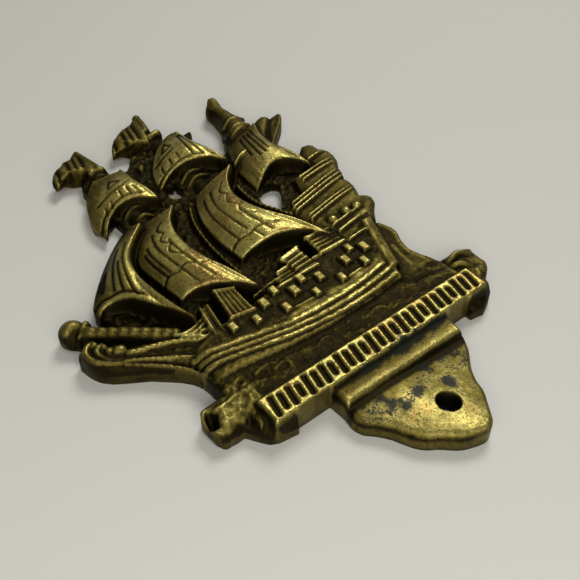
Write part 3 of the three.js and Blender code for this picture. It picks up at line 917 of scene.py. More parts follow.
@dataclass
class DeckHouse:
    """A deck house: a slanted block with thin planks cut into its face and a worn rim."""

    corners: Plan
    rise: float
    planks: int = 3
    upright: bool = False
    plank: Cut = Cut(0.27, 0.5, 0.5)
    soft: float = 0.35
    polish: float = 0.36
    rim_half: float = 0.3
    rim_over: float = 0.2
    rim_shine: float = 0.4

    def shape(self, relief: Relief) -> None:
        """Lays the block, cuts the plank joints at equal shares of two opposite sides, and adds the rims."""
        a, b, c, d = np.array(self.corners, dtype=float)
        relief.plate(self.corners, self.rise, self.soft)
        relief.tone(self.corners, self.polish)
        for share in np.arange(1, self.planks) / self.planks:
            ends = (a + (b - a) * share, d + (c - d) * share) if self.upright else (
                a + (d - a) * share, b + (c - b) * share)
            relief.groove(ends, self.plank)
        rim = Bead(self.rim_half, self.rise - self.rim_over, self.rise + self.rim_over, shine=self.rim_shine)
        for ends in ((a, b), (d, c)):
            relief.rib(ends, rim)


@dataclass
class SternCastle:
    """The castle at the stern in stepped tiers, its mouldings, and the stern post with the side behind it."""

    outline: Plan = (
        (12.6, 20), (11.6, 29), (10.6, 38.4), (17, 40), (18.4, 46.4), (23.6, 46.6), (24.8, 51.6),
        (26.4, 53.4), (27.8, 54.6), (29.7, 54.2), (30.6, 53), (30.3, 51), (31.5, 49), (31.5, 47.1),
        (30.6, 45.1), (29.1, 43), (28.6, 41.2), (27.1, 38.8), (27.4, 37.6), (27.3, 36), (26.4, 34.1),
        (25.7, 32.7), (26.8, 32), (27.4, 30.6), (26.6, 28.9), (24.7, 27.1), (23.2, 25.1),
        (19.6, 24.6),
    )
    low_rise: float = 5.4
    fall: float = 0.045
    mouldings: tuple[tuple[Plan, float], ...] = (
        (((14, 25.9), (18, 26.6), (21.9, 27.3)), 0.5), (((14, 27.9), (22.4, 29.2)), 0.4),
        (((13.7, 22.6), (18.3, 23.1)), 0.34), (((12.3, 32.4), (25.4, 35.1)), 0.36),
        (((12.6, 33.5), (25.4, 36.1)), 0.3), (((11.6, 36.4), (26.8, 39.8)), 0.4),
        (((12, 37.6), (27, 41)), 0.36), (((12.6, 38.9), (27.4, 42.3)), 0.34),
        (((19.4, 43.6), (28.6, 45)), 0.34), (((19.4, 44.8), (29.2, 46.4)), 0.34),
        (((25, 48.6), (29.8, 49.6)), 0.4),
    )
    knobs: Plan = ((15.1, 29.3), (18.9, 29.7), (21.7, 29.5))
    post: Plan = ((20.7, 25.6), (18.9, 21.2), (17.2, 16.8), (15.2, 11.6))
    side: Plan = (
        (14, 8), (15.6, 14), (20, 25), (23.2, 25.6), (23.5, 23.3), (24.2, 21.8), (24.4, 20.8), (24, 19.4),
        (23.1, 18), (22.5, 16.3), (22.6, 14.7), (23.1, 12.9), (24.1, 11.4), (24.6, 9.6), (25.4, 8.4),
    )
    folds: Plans = (
        ((22.4, 23.6), (23.2, 20.6), (22, 17.4), (21.5, 14.4), (22.4, 11)),
        ((20.2, 17.4), (19.6, 14.4), (19.4, 11.4)),
    )
    side_rise: float = 3.9
    post_rise: float = 5.7
    post_half: float = 1.3
    foot: float = 24.0
    tier_step: float = 0.12
    tier_waves: float = 1.15
    soft: float = 2.0
    rough: float = 0.02
    polish: float = 0.18
    side_soft: float = 1.7
    side_rough: float = 0.03
    side_polish: float = 0.08
    fold: Bead = Bead(0.8, 3.5, 4.05, shine=0.22)
    joint: Cut = Cut(0.26, 0.22, 0.3)
    moulding_shine: float = 0.34
    knob_half: float = 1.1
    knob_rise: Spot = (5.0, 6.2)
    post_polish: float = 0.12
    post_edge: float = 0.8
    joint_gap: float = 0.2
    moulding_low: float = 0.2
    moulding_over: float = 0.5
    moulding_sink: float = 0.6
    knob_worn: Plan = ((-0.1, 0), (0.1, 0))
    knob_rub: Rub = (0.8, 0.35)
    post_soft: float = 0.7
    post_wave: float = 0.1
    post_waves: float = 1.4
    post_lit_steps: int = 22
    post_lit: Rub = (0.45, 0.4)
    post_shade: Rub = (0.7, -0.3)

    def level(self, z: float | Array) -> float | Array:
        """Rise of the castle's face: it falls evenly up the wall, in a step at each tier."""
        up = z - self.foot
        return self.low_rise - self.fall * up - self.tier_step * np.sin(self.tier_waves * up)

    def shape(self, relief: Relief, lumps: Array) -> None:
        """Lays the side, which rounds off to its wavy edge, then the castle, its mouldings, knobs and post.

        A moulding's back sinks at its right end as the fourth power of the way.

        Args:
            relief: The height field.
            lumps: Rough lumps for the bare faces.
        """
        relief.plate(self.side, self.side_rise, self.side_soft)
        relief.roughen(self.side, lumps, self.side_rough)
        relief.tone(self.side, self.side_polish)
        for path in self.folds:
            relief.rib(curve(path), self.fold)
        relief.plate(self.outline, lambda x, z: self.level(z), self.soft)
        relief.roughen(self.outline, lumps, self.rough)
        relief.tone(self.outline, self.polish)
        for path, half in self.mouldings:
            crest = self.level(np.mean(path, axis=0)[1])
            relief.groove(np.array(path) - (0, half + self.joint_gap), self.joint)
            relief.rib(curve(path), Bead(
                half, crest - self.moulding_low,
                lambda t: crest + self.moulding_over - self.moulding_sink * t**4,
                shine=self.moulding_shine, shine_half=half))
        for spot in self.knobs:
            relief.knob(spot, self.knob_half, *self.knob_rise)
            relief.buff(np.array(spot) + self.knob_worn, *self.knob_rub)
        post = curve(self.post)
        band = np.vstack([post - (self.post_half, 0), post[::-1] + (self.post_half, 0)])
        relief.plate(
            band, lambda x, z: self.post_rise - self.post_wave * np.sin(self.post_waves * z), self.post_soft)
        relief.tone(band, self.post_polish)
        relief.buff(post[:self.post_lit_steps] - (self.post_edge, 0), *self.post_lit)
        relief.buff(post + (self.post_edge, 0), *self.post_shade)


@dataclass
class Bow:
    """The beak head with its rails, strands and carved panel, and the bowsprit above it."""

    outline: Plan = (
        (-41.9, 31), (-41.2, 32.2), (-39.9, 32.5), (-38.5, 32.2), (-37.6, 30.6), (-35.5, 29), (-30, 26.4),
        (-20, 25), (-20, 10), (-26.9, 10.6), (-27.1, 14.3), (-29.8, 17.7), (-33.6, 21.2), (-37.2, 23.5),
        (-39.2, 24.9), (-40.4, 27), (-41.4, 29.3),
    )
    rise: float = 3.7
    cutwater: Plan = (
        (-39.5, 30.4), (-39.2, 28.9), (-38.3, 27.2), (-35.9, 25.4), (-32.2, 23), (-28.3, 19.4),
        (-25.7, 15.6), (-25, 11.6),
    )
    cutwater_half: float = 2.2
    cutwater_rise: float = 4.3
    rails: Strokes = (
        (((-34.6, 26), (-32.8, 25.1), (-30.6, 24.5), (-28.2, 23.6), (-25.9, 22.4), (-23.4, 20.6),
          (-20.3, 19.7)), 0.8, 4.7),
        (((-36.1, 24.9), (-33.2, 23), (-30.4, 21), (-26.8, 18.6), (-25, 17.4)), 0.6, 4.5),
        (((-36.4, 24.2), (-34.8, 23), (-33.1, 21.6), (-30.7, 19.2), (-29, 17.1), (-28, 15.5), (-27, 12.4)),
         0.34, 4.5),
    )
    joints: Plans = (
        ((-35.6, 25.4), (-32, 23.2), (-28, 20.9), (-25, 19.4)), ((-36, 24), (-32, 20.9), (-29, 18.2)),
    )
    strands: Plans = (
        ((-38.5, 31.2), (-39.7, 31.1), (-40.6, 29.9), (-40.3, 28.1), (-38.9, 26.3), (-36.4, 24.7)),
        ((-37.5, 29.8), (-38.5, 29.7), (-39, 28.6), (-38.3, 27), (-36.6, 25.6)),
    )
    volute: Plan = ((-36.9, 28.1), (-35.3, 27.4))
    panel: Plan = ((-26.2, 24), (-23.3, 23.9), (-20.8, 24.3), (-19.1, 24.5), (-20.4, 19.8), (-23.4, 20.6))
    carving: Plans = (
        ((-26.6, 24.2), (-24.6, 23.4), (-22.4, 23.5), (-19.4, 24.6)),
        ((-26, 23.6), (-24.2, 22.6), (-22.2, 22.6), (-20, 23.6)), ((-25.6, 23), (-24, 21.8), (-22.6, 21)),
        ((-24.4, 22.4), (-23, 21.6)), ((-23.2, 20.9), (-20.6, 19.9)),
        ((-22.8, 21.2), (-22.2, 21.9), (-21.3, 21.8), (-21, 21), (-21.5, 20.4), (-22.3, 20.5), (-22.8, 21.2)),
    )
    post: Plan = ((-21.3, 19), (-19, 18.8), (-17.6, 26), (-19.9, 26.4))
    post_lines: Plans = (((-20.9, 19.2), (-19.5, 26.2)), ((-19.3, 19), (-18, 25.9)))
    sprit: Plan = ((-37.6, 34.8), (-35.3, 32.8), (-33, 31), (-31.1, 29.4), (-29, 27.7), (-27.2, 26),
                   (-25.8, 24.8))
    sprit_half: float = 1.45
    sprit_rise: float = 4.9
    turns: float = 8.0
    knob: Spot = (-39.4, 37.3)
    knob_half: float = 2.7
    knob_rise: float = 5.2
    knob_under: float = 1.3
    soft: float = 1.2
    polish: float = 0.12
    rough: float = 0.07
    cutwater_low: float = 1.3
    stem: Bead = Bead(2.3, 1.6, 4.6)
    rail_notch: float = 0.16
    rail_notches: float = 13.0
    rail_taper: float = 0.55
    rail_shine: float = 0.2
    joint: Cut = Cut(0.4, 0.35, 0.3)
    strand: Bead = Bead(1.0, 3.7, lambda t: 5.2 - 0.9 * t, taper=0.5)
    strand_cut: Cut = Cut(0.26, 0.3, 0.3)
    scroll: Bead = Bead(1.4, 3.2, 5.0, shine=0.2, shine_half=0.7)
    slit: Plan = ((-37, 27.2), (-36.2, 28.4))
    slit_cut: Cut = Cut(0.3, 0.3, 0.3)
    panel_rise: float = 4.4
    panel_polish: float = 0.3
    carved: Bead = Bead(0.3, 4.3, 4.95, shine=0.3, shine_half=0.3)
    post_rise: float = 5.1
    post_line: Bead = Bead(0.4, 4.8, 5.6, shine=0.25, shine_half=0.3)
    sprit_low: float = 3.0
    sprit_turn: float = 0.12
    sprit_polish: float = 0.04
    sprit_side: Spot = (0.8, 0.9)
    collar: Plan = ((-39.2, 35.2), (-36.9, 36.6))
    collar_bead: Bead = Bead(1.0, 2.6, 4.9)
    dent: Plan = ((-40.6, 35.2), (-39.6, 35.6))
    dent_cut: Cut = Cut(1.0, 0.9, 0.4)
    knob_low: float = 2.2
    knob_worn: Strokes = (
        (((-41.4, 36.8), (-39.4, 37.2), (-38, 37.6)), 0.35, 0.3), (((-39.6, 38.6), (-38.8, 38.8)), 0.9, 0.25),
    )
    stem_steps: int = 14
    stem_shift: Spot = (0.4, 0.1)
    rail_sunk: float = 0.1
    strand_shift: Spot = (0.95, 0.2)
    strand_lit: tuple[int, int] = (4, 20)
    strand_rub: Rub = (0.4, 0.12)
    block_soft: float = 0.4
    knob_tip: Spot = (-41.0, 37.3)
    knob_reach: float = 3.0

    def shape(self, relief: Relief, lumps: Array) -> None:
        """Lays the beak head with its rails, strands and panel, then the bowsprit and its round knob.

        Args:
            relief: The height field.
            lumps: Rough lumps for the beak head.
        """
        relief.plate(self.outline, self.rise, self.soft)
        relief.tone(self.outline, self.polish)
        cutwater = curve(self.cutwater)
        relief.rib(cutwater, Bead(self.cutwater_half, self.cutwater_low, self.cutwater_rise))
        relief.rib(cutwater[:self.stem_steps] + self.stem_shift, self.stem)
        relief.roughen(self.outline, lumps, self.rough)
        for path, half, crest in self.rails:
            relief.rib(curve(path), Bead(
                half, self.rise - self.rail_sunk,
                lambda t: crest + self.rail_notch * np.abs(np.sin(self.rail_notches * np.pi * t)),
                self.rail_taper, self.rail_shine, 0.5 * half))
        for path in self.joints:
            relief.groove(curve(path), self.joint)
        for path in map(curve, self.strands):
            relief.rib(path, self.strand)
            relief.groove(path + self.strand_shift, self.strand_cut)
            relief.buff(path[slice(*self.strand_lit)], *self.strand_rub)
        relief.rib(self.volute, self.scroll)
        relief.groove(self.slit, self.slit_cut)
        relief.plate(self.panel, self.panel_rise, self.block_soft)
        relief.tone(self.panel, self.panel_polish)
        for path in self.carving:
            relief.rib(curve(path), self.carved)
        relief.plate(self.post, self.post_rise, self.block_soft)
        for path in self.post_lines:
            relief.rib(path, self.post_line)
        self.bowsprit(relief)

    def bowsprit(self, relief: Relief) -> None:
        """Lays the spar, whose worn rope turns are a sine along it, then its knob, collar and dent."""
        sprit = curve(self.sprit)
        relief.rib(sprit, Bead(
            self.sprit_half, self.sprit_low,
            lambda t: self.sprit_rise + self.sprit_turn * np.sin(2 * np.pi * self.turns * t)))
        relief.tone(np.vstack([sprit - self.sprit_side, sprit[::-1] + self.sprit_side]), self.sprit_polish)
        relief.knob(self.knob, self.knob_half, self.knob_low, self.knob_rise)
        relief.rib(self.collar, self.collar_bead)
        relief.groove(self.dent, self.dent_cut)
        for path, half, amount in self.knob_worn:
            relief.buff(path, half, amount)
        relief.lift(self.knob_tip, self.knob_reach, self.knob_under)


@dataclass
class Sea:
    """The dark water under the hull, with a hollow log at its left end and a leaf scroll at its right."""

    outline: Plan = ((-26.6, -1), (24.6, -1), (24.8, 9.4), (16, 10.4), (-2, 8.8), (-14, 10), (-24, 12.4),
                     (-27.4, 12))
    rise: float = 4.5
    log: Plan = (
        (-32.9, 2.9), (-33.2, 4.8), (-32.9, 7), (-31.8, 8.4), (-29, 8.9), (-25, 9.2), (-23, 9), (-23, 2.6),
        (-28, 1.4), (-31.4, 1.6),
    )
    log_axis: float = 5.2
    log_half: float = 3.9
    log_rise: float = 4.9
    log_under: float = 1.1
    bark: tuple[tuple[Plan, float], ...] = (
        (((-31.4, 7.4), (-28.6, 7.8), (-25, 8)), 4.3),
        (((-30.8, 6.1), (-28, 6.3), (-26, 6.7), (-24, 6.4)), 5.2),
        (((-30.4, 4.7), (-28.2, 4.5), (-26.4, 4.8)), 5.0), (((-30.8, 3.5), (-28.4, 3.2)), 4.5),
    )
    stub: Spot = (-31.2, 2.7)
    bore: Plan = ((-32.2, 4.6), (-31.8, 5.6))
    bore_cut: Cut = Cut(1.0, 2.8, 0.6)
    ends: Plans = (
        ((-29, 2.4), (-28, 1), (-26.7, -1.1), (-25.9, -2.2), (-24.4, -3), (-20.5, -3.6), (-20, 5),
         (-28.5, 5)),
        ((20, -4), (23.1, -4.5), (25, -3.7), (26.8, -2.6), (28.2, -1), (28.6, 0.2), (29.8, 1), (31.4, 2.2),
         (32.4, 3.6), (20, 6)),
    )
    leaf: Plan = (
        (24.4, 9.4), (27.3, 9.3), (29.5, 9.6), (31.1, 9), (32.6, 8), (32.2, 6.6), (32.1, 5), (32.3, 3.6),
        (29, 1.6), (23, 2),
    )
    ridges: Plans = (((25.6, 7.7), (28.7, 8.1), (31, 6.9)), ((24.6, 6.4), (27, 5.7), (28.6, 4.2)))
    curls: Plans = (
        ((-17.4, 7), (-15.4, 7.4), (-14.4, 6.6), (-14.8, 5.8)), ((-8, 6.6), (-6, 7), (-5.2, 6.2)),
        ((4, 6.2), (6, 6.6), (7, 5.8)), ((-20.6, 8.2), (-18, 8.8), (-16.6, 8)),
    )
    soft: float = 1.5
    streak: float = 0.05
    rough: float = 0.035
    polish: float = -0.04
    wave: float = 0.1
    corner: Spot = (14.0, 5.5)
    corner_run: float = 3.0
    corner_fall: float = 0.75
    curl: Bead = Bead(0.6, 4.2, 4.7)
    end_rise: float = 3.3
    end_soft: float = 1.6
    end_rough: float = 0.1
    log_low: float = 2.0
    log_rough: float = 0.12
    log_polish: float = 0.28
    log_tip: Spot = (-34.5, 4.8)
    bark_half: float = 0.55
    bark_deep: float = 0.9
    bark_fall: float = 0.5
    bark_shine: float = 0.16
    leaf_rise: float = 2.9
    leaf_polish: float = 0.18
    ridge: Bead = Bead(0.8, 2.7, lambda t: 3.2 + 0.9 * np.sin(np.pi * t))
    wave_turns: Spot = (0.5, 1.9)
    log_soft: float = 0.7
    log_reach: float = 2.6
    bark_taper: float = 0.4
    stub_dome: Dome = (1.3, 1.6, 3.5)
    leaf_soft: float = 0.9

    def level(self, x: Array, z: Array) -> Array:
        """Rise of the water: slanting sine waves that sink to the stern's side in the upper right corner."""
        corner = np.clip((x - self.corner[0]) / self.corner_run, 0, 1)
        corner = corner * np.clip((z - self.corner[1]) / self.corner_run, 0, 1)
        waves = np.sin(self.wave_turns[0] * x + self.wave_turns[1] * z)
        return self.rise + self.wave * waves - self.corner_fall * corner

    def log_level(self, x: Array, z: Array) -> Array:
        """Rise of the log: half round across its axis."""
        across = np.sqrt(np.clip(1 - ((z - self.log_axis) / self.log_half)**2, 0, 1))
        return self.log_low + (self.log_rise - self.log_low) * across

    def shape(self, relief: Relief, lumps: Array, streaks: Array) -> None:
        """Lays the ends of the base, the water with its curls, the log with its bark and the leaf scroll.

        Args:
            relief: The height field.
            lumps: Rough lumps for the log and the ends.
            streaks: Long fine lumps for the water.
        """
        for corners in self.ends:
            relief.plate(corners, self.end_rise, self.end_soft)
            relief.roughen(corners, lumps, self.end_rough)
        relief.plate(self.outline, self.level, self.soft)
        relief.roughen(self.outline, streaks, self.streak)
        relief.roughen(self.outline, lumps, self.rough)
        relief.tone(self.outline, self.polish)
        for path in self.curls:
            relief.rib(curve(path), self.curl)
        trunk = curve(self.log + self.log[:1])
        relief.plate(trunk, self.log_level, self.log_soft)
        relief.roughen(trunk, lumps, self.log_rough)
        relief.tone(trunk, self.log_polish)
        relief.lift(self.log_tip, self.log_reach, self.log_under)
        for path, crest in self.bark:
            relief.rib(curve(path), Bead(
                self.bark_half, crest - self.bark_deep, lambda t: crest - self.bark_fall * t,
                self.bark_taper, self.bark_shine))
        relief.knob(self.stub, *self.stub_dome)
        relief.groove(self.bore, self.bore_cut)
        relief.plate(self.leaf, self.leaf_rise, self.leaf_soft)
        relief.tone(self.leaf, self.leaf_polish)
        for path in self.ridges:
            relief.rib(curve(path), self.ridge)


@dataclass
class NameBar:
    """The bar under the sea, with a row of slanted strokes cut into its face."""

    left: float = -24.7
    right: float = 25.0
    low: float = -2.7
    high: float = 2.9
    rise: float = 6.0
    count: int = 27
    margin: float = 1.7
    lean: float = 0.22
    heights: tuple[float, ...] = (3.7, 2.6, 3.3, 1.9)
    stroke: Cut = Cut(0.44, 0.6, 1.1)
    polish: float = 0.56
    blend: float = 0.1

    def shape(self, relief: Relief) -> None:
        """Lays the bar and cuts the strokes, all leaning the same way."""
        corners = ((self.left, self.low), (self.right, self.low), (self.right, self.high),
                   (self.left, self.high))
        relief.plate(corners, self.rise, blend=self.blend)
        relief.tone(corners, self.polish)
        middle = (self.low + self.high) / 2
        for index, x in enumerate(np.linspace(self.left + self.margin, self.right - self.margin, self.count)):
            tall = self.heights[index % len(self.heights)] / 2
            lean = self.lean * tall
            relief.groove(((x - lean, middle - tall), (x + lean, middle + tall)), self.stroke)


@dataclass
class FixingTab:
    """The leaf-shaped tongue below the bar, with a ledge across its top, a screw hole and patina."""

    outline: Plan = (
        (-13.4, -2), (-13.2, -6), (-13.5, -8.3), (-12.9, -10.3), (-11.4, -12), (-10, -13.9), (-9.2, -15.6),
        (-8.3, -17.4), (-7, -19), (-5.1, -20.4), (-2.8, -22.5), (-0.4, -23.6), (1.9, -24.1), (3.6, -23.4),
        (4.9, -21.8), (6.1, -20.1), (7.1, -18.8), (7.8, -17.5), (8.3, -15.9), (9.3, -14), (10.6, -12.3),
        (12.5, -10.2), (13.5, -8.6), (14.4, -6.4), (14.4, -2),
    )
    rise: float = 3.5
    soft: float = 1.0
    flank: float = 1.5
    ledge: Plan = ((-13.2, -2), (-13, -6.6), (13.6, -7.1), (14.3, -2))
    ledge_rise: float = 4.9
    hole: Spot = (0.7, -16.1)
    hole_half: float = 2.15
    hole_back: float = 1.15
    crown: Plan = ((-6, -6), (-3.2, -13), (-1.2, -18), (1.2, -23))
    crown_fall: float = 1.0
    crown_reach: float = 8.0
    stains: tuple[tuple[float, float, float, float], ...] = (
        (-7, -10.8, 2.2, 2.0), (-5.6, -12.4, 1.6, 1.2), (-1.8, -11.3, 2.1, 1.2), (3.8, -13.2, 2.0, 1.6),
        (-7.8, -8.8, 1.8, 0.9), (3.4, -9.4, 1.2, 0.7), (9.4, -9.4, 1.6, 0.8), (4.6, -3.4, 6.5, 1.3),
        (11.4, -3.2, 3.2, 1.0), (-5, -3.2, 4, 0.8),
    )
    crown_over: float = 0.6
    crown_highlight_from: int = 8
    crown_painted_highlight: Rub = (1.6, 0.14)
    flank_turn: float = 5.0
    flank_painted_shade: float = 0.05
    rough: float = 0.012
    polish: float = 0.545
    right_edge: Plan = ((12, -9.4), (8.4, -15), (6.4, -19))
    right_painted_shade: Rub = (2.4, -0.16)
    ledge_polish: float = 0.3
    ledge_slope: float = 0.16
    ledge_from: float = -5.2
    ledge_crest: Plan = ((-12.6, -5.5), (13.2, -5.9))
    ledge_painted_highlight: Rub = (0.5, 0.16)
    ledge_foot: Plan = ((-13, -7.4), (13.4, -7.9))
    ledge_painted_shadow: Rub = (0.55, -0.9)
    ledge_soft: float = 0.9
    ledge_blend: float = 0.3
    ledge_run: float = 4.0
    fray_coarse: float = 0.16
    fray_fine: float = 0.1
    stain_deep: float = 0.95
    foot_stain: float = 0.6
    pepper: Spot = (0.4, 0.5)
    pepper_most: float = 0.55
    hole_sides: int = 48
    hole_lip: float = 0.3
    hole_painted_shade: float = 1.2
    rough_fade: float = 2.0
    bell_edge: float = 0.06
    foot_z: float = -8.3
    foot_slope: float = 0.02
    foot_tall: float = 0.8
    foot_half: float = 12.6
    band_z: float = -10.0
    band_tall: float = 4.0
    band_top: float = -7.0
    band_half: float = 13.0
    soak: float = 1.3

    def shape(self, relief: Relief, lumps: Array) -> None:
        """Lays the tongue, whose face falls off from a crown line, then the ledge, paints highlights and
        shade on both, then stains both.

        The fall grows from nothing at the crown as one less a bell of the distance.

        Args:
            relief: The height field.
            lumps: Low dents of the worn face.
        """
        loop, crown = curve(self.outline), curve(self.crown)
        where, inset = relief.inside(loop)
        x, z = relief.x[where], relief.z[where]
        away, _ = nearest(x, z, crown)
        leftward = np.clip(0.5 + (np.interp(-z, -crown[:, 1], crown[:, 0]) - x) / self.flank_turn, 0, 1)
        level = self.rise + self.crown_over - self.crown_fall * (1 - np.exp(-((away / self.crown_reach)**2)))
        relief.lay(where, inset, level, self.soft + (self.flank - self.soft) * leftward)
        relief.roughen(loop, lumps, self.rough, self.rough_fade)
        relief.tone(loop, self.polish)
        # Painted shade down the left flank.
        relief.polish[where] -= self.flank_painted_shade * leftward * np.clip(1 - inset / self.flank, 0, 1)
        # Painted highlight along the lower part of the crown line.
        relief.buff(crown[self.crown_highlight_from:], *self.crown_painted_highlight)
        # Painted shade down the right side of the tongue.
        relief.buff(self.right_edge, *self.right_painted_shade)
        relief.plate(self.ledge, self.ledge_level, self.ledge_soft, self.ledge_blend)
        relief.tone(self.ledge, self.ledge_polish)
        # Painted highlight along the ledge's rounded lower edge.
        relief.buff(self.ledge_crest, *self.ledge_painted_highlight)
        # Painted shadow under the ledge.
        relief.buff(self.ledge_foot, *self.ledge_painted_shadow)
        self.patina(relief)

    def ledge_level(self, x: Array, z: Array) -> Array:
        """Rise of the ledge: flat at its front, then sinking evenly towards the bar."""
        return self.ledge_rise - self.ledge_slope * np.clip(z - self.ledge_from, 0, self.ledge_run)

    def patina(self, relief: Relief) -> None:
        """Stains the tab with oval bells, a line along the ledge's foot and a band of pepper, all frayed."""
        x, z = relief.x, relief.z
        fray = self.fray_coarse * relief.grain(1.2, 13) + self.fray_fine * relief.grain(0.6, 17)
        stain = relief.stain
        for middle_x, middle_z, wide, tall in self.stains:
            bell = np.exp(-((x - middle_x) / wide)**2 - ((z - middle_z) / tall)**2)
            stain = np.maximum(stain, np.clip(self.stain_deep * bell + fray * (bell > self.bell_edge), 0, 1))
        foot = np.exp(-((z - self.foot_z + self.foot_slope * x) / self.foot_tall)**2)
        foot = foot * (np.abs(x) < self.foot_half)
        stain = np.maximum(stain, np.clip(self.foot_stain * foot + fray * (foot > 0.1), 0, 1))
        band = np.exp(-((z - self.band_z) / self.band_tall)**2)
        band = band * (z < self.band_top) * (np.abs(x) < self.band_half)
        speckle = np.clip(self.pepper[0] * band + self.pepper[1] * fray, 0, self.pepper_most)
        relief.stain = smooth(np.maximum(stain, speckle * (band > 0.02)), self.soak)

    def pierce(self, relief: Relief) -> None:
        """Cuts the screw hole on a circle, narrower at the back."""
        turn = np.linspace(0, 2 * np.pi, self.hole_sides, endpoint=False)
        ring = np.column_stack([np.cos(turn), np.sin(turn)])
        relief.pierce(np.array(self.hole) + self.hole_half * ring)
        relief.bores.append((*self.hole, self.hole_half, self.hole_back))
        where = relief.around([self.hole], margin=2 * self.hole_half)
        gap = np.hypot(relief.x[where] - self.hole[0], relief.z[where] - self.hole[1])
        # Painted shade round the mouth of the screw hole.
        relief.polish[where] -= self.hole_painted_shade * np.clip(self.hole_half + self.hole_lip - gap, 0, 1)


SAILS = (
    Sail("fore course", ((-16.6, 55.6), (-22.6, 51.4), (-28.8, 45.6), (-33.8, 39.8), (-34, 37)),
         ((-16, 51.5), (-20, 48.2), (-23, 44), (-24.4, 39), (-24.3, 34), (-23.3, 29), (-21.7, 24.5)),
         ((-34, 37), (-32, 38), (-28.6, 36.1), (-25.2, 31), (-21.7, 24.5)), 3.4, 6.4, 0.5,
         seams=(Seam(0.22, 0.62, 0.86), Seam(0.46, 0.34, 0.9), Seam(0.62, 0.55, 0.92),
                Seam(0.78, 0.28, 0.96)),
         foot_bands=(1.2,), marks=(((-30.9, 41.6), (-29.9, 42.9)), ((-29.6, 43), (-28.4, 44.4))),
         polish=0.52),
    Sail("middle course", ((-15.2, 53.7), (-18.2, 50.6), (-20.6, 46.5), (-21.5, 41.3), (-20.2, 31.2)),
         ((-8, 52), (-10.6, 49), (-12.2, 44.5), (-12.6, 39), (-11.9, 34.5), (-10.2, 29.8), (-8, 23.7)),
         ((-20.2, 31.2), (-17.7, 31), (-14, 29), (-11, 26.5), (-8, 23.7)), 3.6, 6.4, 0.9,
         seams=(Seam(0.2, 0.42, 0.78), Seam(0.3, 0.36, 0.76), Seam(0.48, 0.25, 0.98),
                Seam(0.8, 0.42, 0.94, drift=-0.06),
                Seam(0.76, 0.14, 0.66, SeamStyle.SCALLOPED, -0.14, 3)),
         foot_bands=(4.4,)),
    Sail("main course", ((-0.7, 54.7), (-2.8, 51.1), (-4.7, 46), (-5.4, 39.3), (-4.8, 33.1)),
         ((9, 55.6), (6, 52.6), (4, 48.5), (3.6, 45), (4.3, 41), (6, 37), (8.5, 32.8), (11.7, 26)),
         ((-4.8, 33.1), (-2.5, 33.4), (2, 32.7), (5, 31.8), (8, 30), (11.7, 26)), 3.6, 6.4, 0.9,
         seams=(Seam(0.24, 0.14, 0.84), Seam(0.46, 0.12, 0.82),
                Seam(0.86, 0.12, 0.72, SeamStyle.SCALLOPED, -0.14, 3),
                Seam(0.82, 0.62, 0.95, drift=-0.16), Seam(0.5, 0.86, 0.98)),
         foot_bands=(2.6,), polish=0.88),
    Sail("fore topsail", ((-15, 72.2), (-17, 70.4), (-18.9, 68.2), (-20.4, 65.3), (-21.6, 61.4),
                          (-21.6, 58.2), (-21.2, 56.2)),
         ((-8.6, 71.2), (-8.6, 68.8), (-9, 65.6), (-9, 62.8), (-8.5, 60.4), (-7.8, 57.6)),
         ((-21.2, 56.2), (-19.5, 58.5), (-18, 59.8), (-16.5, 60.5), (-14.8, 60.8), (-12.9, 60.6),
          (-11.2, 59.9), (-9.7, 58.9), (-7.8, 57.6)), 2.4, 5.6, 0.7,
         seams=(Seam(0.62, 0.74, 0.9), Seam(0.76, 0.73, 0.9), Seam(0.88, 0.72, 0.92)), foot_bands=(0.9,),
         under=1.6, polish=0.76, head=(4.2, 4.5), painted_shade=0.5,
         marks=(((-18.4, 63.8), (-15.6, 64.4), (-12.6, 64.4), (-9.8, 65.2)), ((-18.2, 60.6), (-17.6, 62.1)),
                ((-16.5, 61.2), (-16, 62.6)), ((-14.6, 66.1), (-13, 68.7), (-11.6, 66.3), (-14.6, 66.1)))),
    Sail("main topsail", ((7.4, 76), (5.4, 75.6), (3.1, 74.4), (1.2, 72.8), (-0.9, 70.5), (-3, 67.5),
                          (-4.3, 64.6), (-4.7, 61.6)),
         ((8.4, 75.2), (8.5, 72.4), (8.4, 69.7), (8.6, 66.7), (9.2, 63.9), (10, 61.6), (11, 59.2)),
         ((-4.7, 61.6), (-3.1, 62.7), (-1.4, 63.6), (0.4, 64.1), (2.5, 64.2), (4.5, 63.8), (6.5, 63),
          (8.2, 62), (9.6, 60.7), (11, 59.2)), 2.8, 5.6, 0.7,
         seams=(Seam(0.74, 0.14, 0.9), Seam(0.88, 0.1, 0.92)), foot_bands=(0.8,), polish=0.76,
         head=(4.4, 4.6), painted_shade=0.4,
         marks=(((-1.8, 68), (1, 68.9), (3.4, 69.2)), ((-1.6, 65.1), (-1.1, 66.6)),
                ((0.9, 65.6), (1.3, 67.2)), ((3, 65.8), (3.2, 67.4)),
                ((1.4, 70.4), (3.6, 73.1), (4, 70.7), (1.4, 70.4)))),
    Sail("mizzen sail", ((15.9, 67.5), (13.3, 61.4), (11.3, 56.2), (10.9, 48.6)),
         ((24, 66.8), (22.4, 63), (21.6, 60), (21.2, 56.8), (21.8, 53.6), (22.8, 50.6), (23.9, 46.9)),
         ((10.9, 48.6), (13.1, 49.9), (14.8, 50.9), (16.9, 51.6), (18.6, 51.6), (20.3, 50.9), (21.6, 49.7),
          (23.9, 46.9)), 3.0, 5.7, 0.8,
         seams=(Seam(0.42, 0.2, 0.7), Seam(0.55, 0.16, 0.8), Seam(0.68, 0.16, 0.8), Seam(0.8, 0.12, 0.74)),
         head=(3.2, 4.6), polish=0.52),
)

